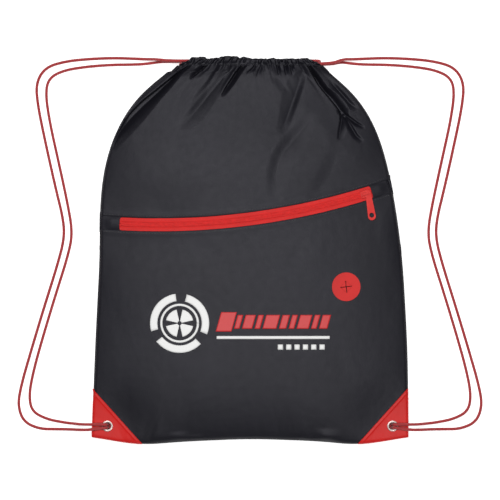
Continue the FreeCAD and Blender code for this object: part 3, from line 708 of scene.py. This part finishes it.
def seam_puckers(x, y):
    """Small creases that run up from the bottom seam."""
    above = (y - bottom_y(x)) / MM
    draw = random.Random(3)
    z = np.zeros(x.shape)
    for _ in range(70):
        cx, wide = draw.uniform(-150, 150), draw.uniform(1.8, 6.0)
        high, reach, drift = draw.uniform(-0.5, 0.5), draw.uniform(5, 22), draw.uniform(-0.6, 0.6)
        off = (x / MM - cx - drift * above) / wide
        z += high * np.exp(-off * off) * np.exp(-above / reach)
    for cx, wide, top in ((-78, 15, 12), (-60, 14, 8), (84, 17, 15), (60, 12, 7), (-20, 60, 6)):
        # full tucks that stand up towards the seam, where its easing gathers
        z += 0.3 * (top - 2) * bump((x / MM - cx) / wide) * np.clip((top - above) / (top - 2), 0, 1)
    return z * ease(above / 2.0)


def pocket_panel():
    columns, rows = ((241, 160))
    x, y, share, t = plan_grid(bottom_y, pocket_top_y, columns, rows)
    z = sampled("front_pocket_panel", share, y)
    relief = waved(x, y, FRONT_WAVES) * 0.8 + seam_puckers(x, y)
    relief *= ease((pocket_top_y(x) - y) / (20 * MM)) * (0.1 + 0.9 * ease(edge_distance(x, y) / (9 * MM)))
    relief *= (1 - bump(away_from(x, y, PORT) / (34 * MM))) * (1 - bump(from_grommets(x, y) / (42 * MM)))
    relief += pressed_edge(pocket_top_y(x), y)
    z = to_seam(z + relief * MM, edge_distance(x, y), SEAM_Z)
    x, y, z, share, t = turned_hem(x, y, z, share, t, False)
    keep = (from_grommets(x, y) > CLOTH_HOLE) & (away_from(x, y, PORT) > PORT_HOLE)
    obj = thicken(grid_object("front_pocket_cloth", x, y, z, share * FLAT_WIDTH, t * 0.235, keep=keep), CLOTH)
    return dress(obj, "cloth", "front_pocket_panel")


def lining():
    """The wall between the pocket and the main compartment."""
    low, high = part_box("pocket_lining")
    xs = np.linspace(low.x + 0.5 * MM, high.x - 0.5 * MM, 160)
    top_y = line_through(xs, plan_limits("pocket_lining", 0, xs)[1])
    x, y, share, t = plan_grid(bottom_y, top_y, 121, 90)
    z = sampled("pocket_lining", share, y) - 0.4 * MM
    keep = from_grommets(x, y) > CLOTH_HOLE
    obj = thicken(grid_object("pocket_back_cloth", x, y, z, share * FLAT_WIDTH, t * 0.25, keep=keep), CLOTH)
    dress(obj, "dark_cloth", "pocket_lining")


def back_cloth():
    """The back of the bag: flat on the floor, and curved up to the seams."""
    x, y, share, t = plan_grid(bottom_y, hem_y, 201, 220, lambda t: 0.5 - 0.5 * np.cos(math.pi * t))
    z = sampled("back_panel", share, y, from_above=False)
    relief = gathered(share, (HEM_Y - y) / MM, BACK_GATHERS) + 1.3 * waved(-x, y, BACK_WAVES)
    lifted = ease(z / (3 * MM)) * ease((10.5 * MM - z) / (4 * MM))
    z = z + relief * MM * np.maximum(lifted, 0.7 * near_mouth(y))
    z = z + (BACK_HEM_Z - z) * near_mouth(y) * 0.8
    z = np.maximum(z, 0.02 * MM)
    seam_z = SEAM_Z - 0.25 * MM
    z = to_seam(z, edge_distance(x, y), seam_z + (6.0 * MM - seam_z) * near_mouth(y), 2.5)
    keep = from_grommets(x, y) > CLOTH_HOLE
    obj = thicken(grid_object("back_cloth", x, y, z, share * FLAT_WIDTH, t * 0.41, keep=keep), CLOTH, 1.0)
    return dress(obj, "cloth", "back_panel")


# ---- Casing ----
# The gathered mouth's top edge in mm, from left to right, and its deep pleats: place, depth and lean.
TOP_EDGE = [(-77, 203.5), (-72.5, 204.6), (-67, 209), (-60, 207.8), (-57, 209.5), (-54.5, 206.9),
            (-49, 206.9), (-36, 208.4), (-26, 210.2), (-14, 209.6), (-12, 207.4), (-7.6, 209.5), (2.4, 207.4),
            (16.7, 207.2), (22.5, 206.9), (25.8, 208.2), (30.5, 206.8), (37, 206.8), (43, 207.4),
            (59.7, 206.9), (66.5, 208), (70.4, 206), (77, 203.5)]
DEEP_PLEATS = [(-71, 2.4, -2), (-64, 2, -3), (-56, 4.4, -7), (-50, 2.2, -4), (-45, 4.6, -6), (-38, 2, -3),
               (-30, 3, -5), (-21, 2, -4), (-13, 4.6, -6), (-8, 3, -3), (-3, 4.8, -4), (2.5, 4.2, -2),
               (8, 3.6, 0), (14, 3.6, 1), (21, 1.6, 3), (29, 4.6, 0), (33, 2.4, 1), (37.5, 4.6, 1),
               (43.5, 4.4, 1), (52, 2.2, -3), (62, 4.8, 3), (67, 2.4, 2), (72, 2.2, 2)]
BACK_EDGE = 207.2
TUNNEL_Z = {"front_casing": FRONT_LANE_Z * MM, "back_casing": BACK_LANE_Z * MM}


def cord_cover(y):
    """How far the two cords in a casing reach from its middle, with a little room, in metres."""
    wide, high = 2.1, 2.2 * MM
    reach = np.zeros(np.shape(y))
    for lane in (LANE_Y - LANE_APART, LANE_Y + LANE_APART):
        away = np.clip(np.abs(y / MM - lane) / wide, 0, 1)
        reach = np.maximum(reach, high * np.sqrt(1 - away * away))
    return reach


def casing(node, seed, front):
    """A gathered hem: a flat tube of cloth round the cords, bunched into pleats that lean."""
    columns, around = 460, 38
    share = np.linspace(0.0, 1.0, columns)[None, :]
    theta = np.linspace(0, 2 * math.pi, around, endpoint=False)[:, None]
    up = (1 - np.cos(theta)) / 2  # 0 at the stitch line, 1 at the top edge
    outside = np.sin(theta) >= 0
    low_y = HEM_Y - 0.5 * MM
    half = np.interp(0.5 * (low_y + HEM_Y), HEM_YS, plan_limits(node, 1, HEM_YS)[1]) - 1.2 * MM
    across = (2 * share - 1) * half / MM
    draw = random.Random(seed)
    edge = np.interp(across, *zip(*TOP_EDGE)) if front else BACK_EDGE + 0 * across
    edge = edge + gathered(share, 0, gathers(seed, 60, 0.08, 0.4))
    y = low_y + (edge * MM - low_y) * up
    pleats = gathered(share, 0, gathers(seed + 1, 13, 0.2, 0.9)) * (0.4 + 0.6 * up)
    pleats = pleats + gathered(share + 0.03 * up, 0, gathers(seed + 2, 30, 0.02, 0.15))
    deep = DEEP_PLEATS if front else [(draw.uniform(-74, 74), draw.uniform(1, 3), draw.uniform(-3, 3))
                                      for _ in range(26)]
    for centre, depth, lean in deep:
        middle_at = centre + (up - 0.5) * -lean + draw.uniform(0.3, 1.0) * np.sin(5 * up + draw.uniform(0, 6))
        sharp = draw.uniform(1.0, 2.1)
        pleats = pleats - 1.6 * depth * np.exp(-(((across - middle_at) / sharp) ** 2))
        pleats = pleats + 0.12 * depth * np.exp(-(((across - middle_at - 2.2) / 1.5) ** 2))
    taper = (1 - 0.075 * up * np.abs(2 * share - 1)) * np.where(outside, 1.0, 0.9)
    x = across * MM * taper
    middle = TUNNEL_Z[node]
    tall = np.abs(np.sin(theta)) ** 0.2  # how full the flattened tube is round its section
    crown = np.clip(4.6 + pleats, 1.6, 6.6) * tall * MM
    if front:
        panel = fill_nan(heights(surface_of(FRONT_UPPER), x[0], 0 * x[0] + HEM_Y - 0.8 * MM)[None, :])
        crown = crown + (np.clip(panel - middle, 1.0 * MM, 4 * MM) - crown) * (1 - ease(up / 0.6))
    crown = np.maximum(crown, cord_cover(y))
    floor = np.clip(3.2 - 0.25 * pleats, 2.3, 3.8) * tall * MM
    z = np.maximum(middle + np.where(outside, crown, -np.maximum(floor, cord_cover(y) * tall)), 0.05 * MM)
    obj = grid_object(node + "_cloth", x, y, z, share * FLAT_WIDTH, theta / (2 * math.pi) * 0.04, wrap=True)
    return dress(thicken(obj, CLOTH), "cloth", node)


FRONT_POCKET = pocket_panel()
FRONT_UPPER = upper_panel()
lining()
BACK = back_cloth()
FRONT_CASING = casing("front_casing", 77, True)
BACK_CASING = casing("back_casing", 81, False)


# ---- Strips and stitches ----
class Heap:
    """Points, faces and flat coordinates of many small pieces that make one mesh."""

    def __init__(self):
        self.points, self.faces, self.uvs = [], [], []

    def grid(self, points, uvs=None):
        """Adds a grid of points, an array of rows by columns by 3."""
        first = len(self.points)
        self.points += [tuple(p) for p in points.reshape(-1, 3)]
        self.uvs += [tuple(p) for p in (points[..., :2] if uvs is None else uvs).reshape(-1, 2)]
        self.faces += [tuple(first + k for k in face) for face in grid_faces(*points.shape[:2])]

    def tube(self, line, radii, sides=6):
        """Adds a closed-ended tube round a line of points, with a radius at each."""
        line = np.asarray(line, float)
        along = np.gradient(line, axis=0)
        along /= np.linalg.norm(along, axis=1)[:, None] + 1e-12
        side = np.cross(along, (0.12, 0.05, 1.0))
        side /= np.linalg.norm(side, axis=1)[:, None] + 1e-12
        other = np.cross(along, side)
        first, n = len(self.points), len(line)
        for k in range(sides):
            angle = 2 * math.pi * k / sides
            ring = line + (side * math.cos(angle) + other * math.sin(angle)) * np.asarray(radii)[:, None]
            self.points += [tuple(p) for p in ring]
            self.uvs += [(k / sides, i / n) for i in range(n)]
            a, b = first + k * n, first + ((k + 1) % sides) * n
            self.faces += [(a + i, a + i + 1, b + i + 1, b + i) for i in range(n - 1)]
        self.faces.append(tuple(first + k * n for k in range(sides)))
        self.faces.append(tuple(first + k * n + n - 1 for k in reversed(range(sides))))

    def object(self, name):
        return mesh_object(name, self.points, self.faces, self.uvs)


def add_stitches(heap, tree, line, length=2.5, gap=0.6, radius=0.19, rise=0.14, from_above=True):
    """Thread over a surface along a plan line: short arches that dive in at both ends, sizes in mm."""
    line = np.asarray(line, float)
    place = np.concatenate([[0], np.cumsum(np.hypot(*np.diff(line[:, :2], axis=0).T))])
    start, end, step = 0.5 * gap * MM, place[-1] - 0.5 * gap * MM, (length + gap) * MM
    while start + length * MM <= end:
        at = start + np.linspace(0, 1, 6) * length * MM
        x, y = np.interp(at, place, line[:, 0]), np.interp(at, place, line[:, 1])
        z = heights(tree, x, y, from_above)
        start += step
        if np.isnan(z).any():
            continue
        arch = (np.array([-1.6, 0.7, 1, 1, 0.7, -1.6]) * rise + 0.03) * MM * (1 if from_above else -1)
        heap.tube(np.stack([x, y, z + arch], -1), np.array([0.6, 1, 1, 1, 1, 0.6]) * radius * MM)


# ---- Zipper ----
TRAVEL = next(j for j in frame["joints"] if j["name"] == "zipper_travel")
SWING = next(j for j in frame["joints"] if j["name"] == "pull_swing")
PIVOT = np.array(TRAVEL["pos_m"])
AXIS = np.array(TRAVEL["axis"]) / np.linalg.norm(TRAVEL["axis"])
_arm = np.array(SWING["pos_m"]) - PIVOT
ARM = _arm - AXIS * _arm.dot(AXIS)
ARM /= np.linalg.norm(ARM)
SIDEWAYS = np.cross(AXIS, ARM)


def round_pivot(points):
    """Angle round the slider's pivot, distance from its axis and height along the axis."""
    arms = points - PIVOT
    return np.arctan2(arms @ SIDEWAYS, arms @ ARM), np.hypot(arms @ SIDEWAYS, arms @ ARM), arms @ AXIS


def section_frame():
    """The tape's section: its middle, and the directions across and up, as (distance, height) pairs."""
    both = np.concatenate([cad_mesh("zipper_tape_upper")[0], cad_mesh("zipper_tape_lower")[0]])
    flat = np.stack(round_pivot(both)[1:], -1)
    across = np.linalg.svd(flat - flat.mean(0), full_matrices=False)[2][0]
    upper = np.stack(round_pivot(cad_mesh("zipper_tape_upper")[0])[1:], -1)
    if (upper - flat.mean(0)).mean(0).dot(across) < 0:
        across = -across
    up = np.array([-across[1], across[0]])
    coil = np.stack(round_pivot(cad_mesh("zipper_coil_upper")[0])[1:], -1)
    if (coil - flat.mean(0)).mean(0).dot(up) < 0:
        up = -up
    offs, ups = (flat - flat.mean(0)) @ across, (flat - flat.mean(0)) @ up
    return flat.mean(0) + across * (offs.min() + offs.max()) / 2 + up * ups.max(), across, up


SECTION, ACROSS, UP = section_frame()


def on_zipper(angle, off, up):
    """The point at an angle along the zipper, off its middle line and above the tape's face."""
    angle, off, up = np.broadcast_arrays(angle, off, up)
    flat = SECTION + off[..., None] * ACROSS + up[..., None] * UP
    r, h = flat[..., :1], flat[..., 1:]
    return PIVOT + AXIS * h + r * (np.cos(angle)[..., None] * ARM + np.sin(angle)[..., None] * SIDEWAYS)


def angles_of(node):
    angle = round_pivot(cad_mesh(node)[0])[0]
    return angle.min(), angle.max()


COIL_FROM, COIL_TO = angles_of("zipper_coil_upper")
TAPE_FROM, TAPE_TO = angles_of("zipper_tape_upper")
TRACK_RADIUS = SECTION[0]
COIL_PITCH, COIL_WIRE = 1.35 * MM, 0.36 * MM


def zipper_tape(name, side):
    """A woven tape: ribbed along its length, with a thicker cord beside the coil."""
    angle = np.linspace(TAPE_FROM, TAPE_TO, 260)[:, None]
    off = np.array([0.2, 1.6, 2.75, 2.95, 3.25, 3.55, 3.8, 4.6, 5.4, 6.2, 7.0, 8.0, 9.5, 11.9])[None, :] * MM
    bead = 0.28 * MM * np.exp(-(((off - 3.35 * MM) / (0.33 * MM)) ** 2))
    wavy = 0.05 * MM * np.sin(angle * TRACK_RADIUS / (9 * MM)) * (off > 4 * MM)
    points = on_zipper(angle, side * off, bead + wavy - 0.05 * MM)
    uvs = np.stack(np.broadcast_arrays(angle * TRACK_RADIUS, off), -1)
    heap = Heap()
    heap.grid(points if side < 0 else points[:, ::-1], uvs if side < 0 else uvs[:, ::-1])
    dress(thicken(heap.object(name + "_woven"), 0.45 * MM), "tape", name)


def zipper_coil(name, side):
    """A nylon monofilament wound into a flat coil, whose loops mesh with the other row's."""
    turns = ((COIL_TO - COIL_FROM) * TRACK_RADIUS - 1.3 * MM) / COIL_PITCH
    steps = 12
    phase = np.linspace(0, 2 * math.pi * turns, int(turns * steps))
    shift = 0.5 * COIL_PITCH * (side > 0)
    angle = COIL_FROM + (0.4 * MM + COIL_PITCH * phase / (2 * math.pi) + shift) / TRACK_RADIUS
    off = (1.15 - 1.5 * np.cos(phase)) * MM
    up = (0.62 - 0.36 * np.sin(phase)) * MM
    line = on_zipper(angle, side * off, up)
    heap = Heap()
    heap.tube(line, np.full(len(line), COIL_WIRE))
    dress(heap.object(name + "_wound"), "coil", name)


TAB_LENGTH, TAB_CLOTH = 25 * MM, 0.5 * MM


def end_tab(name, end_angle, direction):
    """A strip of cloth folded over the zipper's end and sewn into the side seam."""
    off = np.linspace(-10.5, 10.5, 26)[None, :] * MM
    run = np.linspace(0, 1, 40)[:, None]
    reach = TAB_LENGTH / TRACK_RADIUS
    corner = np.clip((np.abs(off) / MM - 4.9) / 2.5, 0, 1.3) ** 2 * 2.3 * MM / TRACK_RADIUS
    angle = end_angle + direction * (reach * run - corner * (1 - ease(run / 0.2)))
    gone = run * TAB_LENGTH / MM
    pillow = 1.5 * np.clip(1 - (off / (7.3 * MM)) ** 2, 0, 1) * (1 - ease((gone - 8.0) / 12.0))
    points = on_zipper(angle, off, (pillow + 0.28) * MM)
    x, y = points[..., 0], points[..., 1]
    low_z = heights(surface_of(FRONT_POCKET), x[:, 0], pocket_top_y(x[:, 0]) - 1.5 * MM)
    level = np.minimum(points[..., 2], np.nan_to_num(low_z, nan=1.0)[:, None] - 0.35 * MM)
    bounded = np.clip(x, left_x(y) + 0.1 * MM, right_x(y) - 0.1 * MM)
    z = to_seam(level, side_distance(bounded, y), SEAM_Z, 4.0)
    z = np.where(pillow > 0.02, np.maximum(points[..., 2], z), z)
    flat = np.stack([bounded, y, z], -1)
    heap = Heap()
    uvs = np.stack(np.broadcast_arrays(angle * TRACK_RADIUS, off), -1)
    heap.grid(flat if direction * AXIS[2] > 0 else flat[::-1], uvs)
    dress(thicken(heap.object(name + "_cloth"), TAB_CLOTH), "cloth", name)


for _side, _name in ((1, "upper"), (-1, "lower")):
    zipper_tape("zipper_tape_" + _name, _side)
    zipper_coil("zipper_coil_" + _name, _side)
LEFT_END, RIGHT_END = sorted((COIL_FROM, COIL_TO), key=lambda a: on_zipper(a, 0, 0)[0])
RIGHTWARD = 1 if LEFT_END < RIGHT_END else -1
end_tab("zipper_end_tab_left", LEFT_END, -RIGHTWARD)
end_tab("zipper_end_tab_right", RIGHT_END, RIGHTWARD)


# ---- Corner patches ----
PATCH_LIFT, PATCH_SKIN = 0.95 * MM, 0.5 * MM


def patch_line(side, inset):
    """The patch's slanted edge in plan, moved into the patch by inset."""
    low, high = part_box("corner_patch_front_right")
    top = np.array([right_x(high.y), high.y])
    foot = np.array([low.x, bottom_y(low.x)])
    along = (foot - top) / np.linalg.norm(foot - top)
    inward = np.array([-along[1], along[0]])
    inward *= 1 if inward[0] > 0 else -1
    line = np.linspace(top + along * inset + inward * inset, foot - along * inset + inward * inset, 40)
    return line * (side, 1)


def corner_patch(side, front):
    """A vinyl triangle with its slanted edge turned under, wrapped into the side and bottom seams."""
    name = f"corner_patch_{'front' if front else 'back'}_{SIDES[side]}"
    edge = patch_line(side, 0.0)
    top, foot = edge[0], edge[-1]
    u = np.linspace(0, 1, 70)[None, :]
    v = np.linspace(0.004, 1, 70)[:, None]
    outer_x = side * CORNER_X
    end_x = outer_x + (foot[0] - outer_x) * u
    end_y = bottom_y(end_x)
    x, y = top[0] + (end_x - top[0]) * v, top[1] + (end_y - top[1]) * v
    line_x = top[0] + (outer_x - top[0]) * v
    side_x = right_x(y) if side > 0 else left_x(y)
    x = x + (side_x - line_x) * (1 - u) ** 3
    cloth = FRONT_POCKET if front else BACK
    z = fill_nan(heights(surface_of(cloth), x * 0.998, y + 0.4 * MM * (v > 0.99), front))
    sign = 1 if front else -1
    away = edge_distance(x, y)
    z = z + sign * PATCH_LIFT * ease(away / (1.2 * MM) + 0.25)
    z = np.where(away < 0.15 * MM, SEAM_Z + sign * 0.15 * MM, z)
    down = (foot - top) / np.linalg.norm(foot - top)
    from_edge = np.abs((x - top[0]) * down[1] - (y - top[1]) * down[0])
    z = z + sign * 0.5 * MM * np.exp(-(((from_edge / MM - 1.7) / 0.9) ** 2)) * ease(away / (3 * MM))
    normal = np.array([-down[1], down[0]])
    normal *= -side * np.sign(normal[0])
    extra = []
    for out, drop in ((0.22, 0.10), (0.34, 0.38), (0.22, 0.68), (-0.4, 0.80), (-4.0, 0.80)):
        turned_y = np.maximum(y[:, -1] + normal[1] * out * MM, bottom_y(x[:, -1]) + 0.3 * MM)
        turned_x = x[:, -1] + normal[0] * out * MM
        turned_x = np.clip(turned_x, left_x(turned_y) + EDGE_INSET, right_x(turned_y) - EDGE_INSET)
        extra.append(np.stack([turned_x, turned_y, z[:, -1] - sign * drop * MM], -1))
    points = np.concatenate([np.stack([x, y, z], -1), np.stack(extra, 1)], 1)
    keep = from_grommets(points[..., 0], points[..., 1]) > VINYL_HOLE
    if (side > 0) == front:
        points, keep = points[:, ::-1], keep[:, ::-1]
    obj = mesh_object(name + "_vinyl", points.reshape(-1, 3), grid_faces(*keep.shape, keep=keep),
                      points[..., :2].reshape(-1, 2))
    drop_loose(obj)
    return dress(thicken(obj, PATCH_SKIN), "vinyl", name)


PATCHES = {(side, front): corner_patch(side, front) for side in (-1, 1) for front in (True, False)}


# ---- Stitching ----
def hem_line(line, inset, margin=3.0):
    """A plan line that stays inset from one of the panels' edges, from seam to seam."""
    share = np.linspace(0.01, 0.99, 260)
    y = column_line(share, line) + inset
    x = at_share(share, y)
    good = side_distance(x, y) > margin * MM
    return np.stack([x[good], y[good]], -1)


def stitching():
    dark, red = Heap(), Heap()
    add_stitches(dark, surface_of(FRONT_POCKET), hem_line(pocket_top_y, -1.9 * MM))
    add_stitches(dark, surface_of(FRONT_UPPER), hem_line(upper_low_y, 1.9 * MM))
    mouth = hem_line(hem_y, 1.1 * MM, 5.0)
    add_stitches(dark, surface_of(FRONT_CASING), mouth, 2.2, 0.7, 0.12)
    add_stitches(dark, surface_of(BACK_CASING), mouth, 2.2, 0.7, from_above=False)
    for (side, front), piece in PATCHES.items():
        add_stitches(red, surface_of(piece), patch_line(side, 2.3 * MM), 2.4, 0.8, 0.21, 0.1, front)
    angle = np.linspace(COIL_FROM, COIL_TO, 300)
    for side in (-1, 1):
        line = on_zipper(angle, side * 5.2 * MM, 0.0)
        tape = surface_of(bpy.data.objects["zipper_tape_" + ("upper" if side > 0 else "lower") + "_woven"])
        add_stitches(red, tape, line[::-1] if line[0, 0] > line[-1, 0] else line, 1.9, 0.5, 0.15, 0.1)
    dress(dark.object("dark_stitching"), "dark_thread")
    dress(red.object("red_stitching"), "red_thread")


stitching()


# ---- Print ----
INK_LIFT, INK_SKIN = 0.16 * MM, 0.05 * MM


def printed(heap, tree, x, y):
    """Adds a film over the pocket, from a grid of plan positions in mm."""
    x, y = np.broadcast_arrays(x, y)
    x, y = x * MM, y * MM
    z = fill_nan(heights(tree, x, y)) + INK_LIFT
    heap.grid(np.stack([x, y, z], -1))


def slanted_bar(heap, tree, x, y, width, height, lean=0.28):
    """A slanted bar with its lower left corner at x, y."""
    v = np.linspace(0, 1, max(3, int(height / 1.2)))[:, None]
    u = np.linspace(0, 1, max(3, int(width / 1.2)))[None, :]
    printed(heap, tree, x + width * u + lean * height * v, y + height * v)


def arc_band(heap, tree, centre, inner, outer, start, end):
    """Part of a ring, between two angles in degrees, anticlockwise."""
    a = np.radians(np.linspace(end, start, max(4, int(abs(end - start) / 5))))[None, :]
    r = np.linspace(inner, outer, max(3, int((outer - inner) / 1.2)))[:, None]
    printed(heap, tree, centre[0] + r * np.cos(a), centre[1] + r * np.sin(a))


def print_on_pocket():
    """A plain badge: broken and thin rings round four leaves, with slanted bars and two lines beside it."""
    white, red = Heap(), Heap()
    tree = surface_of(FRONT_POCKET)
    centre = (-76.0, -79.0)
    for k in range(3):
        arc_band(white, tree, centre, 24.0, 32.0, 98 + 120 * k, 196 + 120 * k)
    arc_band(white, tree, centre, 18.6, 21.0, 0, 360)
    for k in range(4):
        arc_band(white, tree, centre, 2.2, 15.0, 12 + 90 * k, 78 + 90 * k)
    x = -37.0
    for k, width in enumerate((17, 6, 11, 6, 15, 8, 6, 13, 6, 9)):
        tall = 21.0 if k == 0 else 15.0
        slanted_bar(red, tree, x, -85.0 - (tall - 15.0) / 2, width, tall)
        x += width + 2.6
    slanted_bar(white, tree, -36.0, -96.0, 122.0, 3.2, 0.0)
    for k in range(6):
        slanted_bar(white, tree, 30.0 + 9.0 * k, -107.5, 5.6, 5.6, 0.0)
    dress(thicken(white.object("white_print"), INK_SKIN), "white_ink")
    dress(thicken(red.object("red_print"), INK_SKIN), "red_ink")


print_on_pocket()


# ---- Cords and knots ----
def spline_points(name, route):
    """The smooth line of a route: a NURBS spline with the route as its control points."""
    data = bpy.data.curves.new(name, "CURVE")
    data.dimensions = "3D"
    spline = data.splines.new("NURBS")
    spline.points.add(len(route) - 1)
    for point, place in zip(spline.points, route):
        point.co = (*place, 1)
    spline.order_u = 3
    spline.use_endpoint_u = True
    spline.resolution_u = 24
    obj = link(bpy.data.objects.new(name, data))
    mesh = bpy.data.meshes.new_from_object(obj)
    points = [v.co.copy() for v in mesh.vertices]
    bpy.data.objects.remove(obj)
    bpy.data.curves.remove(data)
    bpy.data.meshes.remove(mesh)
    return points


def places_along(points):
    """How far along a line each of its points lies."""
    return np.concatenate([[0], np.cumsum(np.linalg.norm(np.diff(points, axis=0), axis=1))])


def even_line(points, step):
    """The same line at even steps, and the places of its points along it."""
    points = np.array([tuple(p) for p in points])
    place = places_along(points)
    wanted = np.linspace(0, place[-1], max(2, int(round(place[-1] / step)) + 1))
    return np.stack([np.interp(wanted, place, points[:, k]) for k in range(3)], -1), wanted


def braided(angle, length):
    """Relief of the crossing strands on a cord's surface."""
    travel = 2 * math.pi * length / (3.0 * MM)
    return 0.07 * MM * np.sin(4 * angle + travel) * np.sin(4 * angle - travel) - 0.05 * MM


def tube(name, line, lengths, radius, sides, closed=False):
    """A braided cord round a line, whose points lie at those lengths along it."""
    tangents = np.gradient(line, axis=0)
    if closed:
        tangents = np.roll(line, -1, 0) - np.roll(line, 1, 0)
    tangents /= np.linalg.norm(tangents, axis=1)[:, None]
    side = np.cross(tangents[0], (0, 0, 1))
    if np.linalg.norm(side) < 0.1:
        side = np.cross(tangents[0], (0, 1, 0))
    normals = []
    for tangent in tangents:
        side = side - tangent * side.dot(tangent)
        side /= np.linalg.norm(side)
        normals.append(side)
    normals = np.array(normals)
    others = np.cross(tangents, normals)
    angle = np.linspace(0, 2 * math.pi, sides + 1)[None, :]
    r = radius + braided(angle, lengths[:, None])
    points = line[:, None] + normals[:, None] * (np.cos(angle) * r)[..., None]
    points = (points + others[:, None] * (np.sin(angle) * r)[..., None])[:, :-1]
    rows = len(line)
    faces, uvs = [], []
    for j in range(rows if closed else rows - 1):
        k = (j + 1) % rows
        for i in range(sides):
            n = (i + 1) % sides
            faces.append((j * sides + i, j * sides + n, k * sides + n, k * sides + i))
            uvs += [((i + over) / sides, lengths[row]) for over, row in ((0, j), (1, j), (1, k), (0, k))]
    if not closed:
        for j, order in ((0, -1), (rows - 1, 1)):
            faces.append([j * sides + i for i in range(sides)][::order])
            uvs += [(0, lengths[j])] * sides
    return mesh_object(name, points.reshape(-1, 3), faces, uvs)


def knot(side):
    """A tight trefoil knot of cord below the grommet."""
    t = np.linspace(0, 2 * math.pi, 220, endpoint=False)
    size, radius = 1.15 * MM, 2.05 * MM
    x = side * GROMMET[0] * MM + size * (np.sin(t) + 2 * np.sin(2 * t))
    y = GROMMET[1] * MM + size * (np.cos(t) - 2 * np.cos(2 * t))
    z = 3.6 * MM - 1.42 * MM * np.sin(3 * t)
    line = np.stack([x, y, z], -1)
    obj = tube("knot_" + SIDES[side], line, places_along(line), radius, 16, closed=True)
    return dress(obj, "cord", "cord_knot_" + SIDES[side])


def cord(side):
    name = SIDES[side]
    route = cord_route(side)
    line, lengths = even_line(spline_points("route_" + name, route), (0.6) * MM)
    obj = tube("cord_" + name, line, lengths, CORD_DIAMETER / 2, 14)
    dress(obj, "cord", "drawcord_" + name)
    tied = knot(side)


for _side in SIDES:
    cord(_side)


# ---- Stage ----
def floor():
    m = Nodes("pale_floor")
    cloudy = m.noise(m.coordinates("Object"), 3.0, 2.0)
    m.finish(Base_Color=m.ramp(cloudy, [(0.3, (0.78, 0.78, 0.78)), (0.7, (0.80, 0.80, 0.80))]), Roughness=0.9,
             Specular_IOR_Level=0.1, Emission_Color=(1, 1, 1, 1), Emission_Strength=0.77)
    half, drop = 6.0, 0.0004
    corners = [(-half, -half, -drop), (half, -half, -drop), (half, half, -drop), (-half, half, -drop)]
    obj = mesh_object("floor", corners, [(0, 1, 2, 3)], smooth=False)
    obj.data.materials.append(m.material)


def area_light(name, place, size, power):
    data = bpy.data.lights.new(name, "AREA")
    data.shape, data.size, data.energy = "SQUARE", size, power
    obj = link(bpy.data.objects.new(name, data))
    obj.location = place
    obj.rotation_mode = "QUATERNION"
    obj.rotation_quaternion = (-Vector(place)).to_track_quat("-Z", "Y")


def lights():
    """A large soft key high up on the upper left, a weaker one opposite it, and a dim white room."""
    world = bpy.data.worlds.new("studio")
    world.use_nodes = True
    world.node_tree.nodes["Background"].inputs["Color"].default_value = (1, 1, 1, 1)
    world.node_tree.nodes["Background"].inputs["Strength"].default_value = 0.05
    bpy.context.scene.world = world
    area_light("key", (-0.28, 0.58, 2.3), 0.7, 38)
    area_light("fill", (0.40, -0.66, 2.3), 0.7, 19)


floor()
lights()
bpy.context.scene.view_settings.view_transform = "Standard"

# ---- CAD pieces that stay, with their materials ----
KEPT = {
    "paint": ["zipper_slider", "zipper_pull", "zipper_open_end_stop", "zipper_closed_end_stops"],
    "rubber": ["earbud_port_disc", "port_flap_1", "port_flap_2", "port_flap_3", "port_flap_4"],
    "nickel": ["grommet_left", "grommet_right", "grommet_washer_left", "grommet_washer_right"],
}
for _material, _nodes in KEPT.items():
    for _node in _nodes:
        paint_over(frame["nodes"][_node].data, _material)
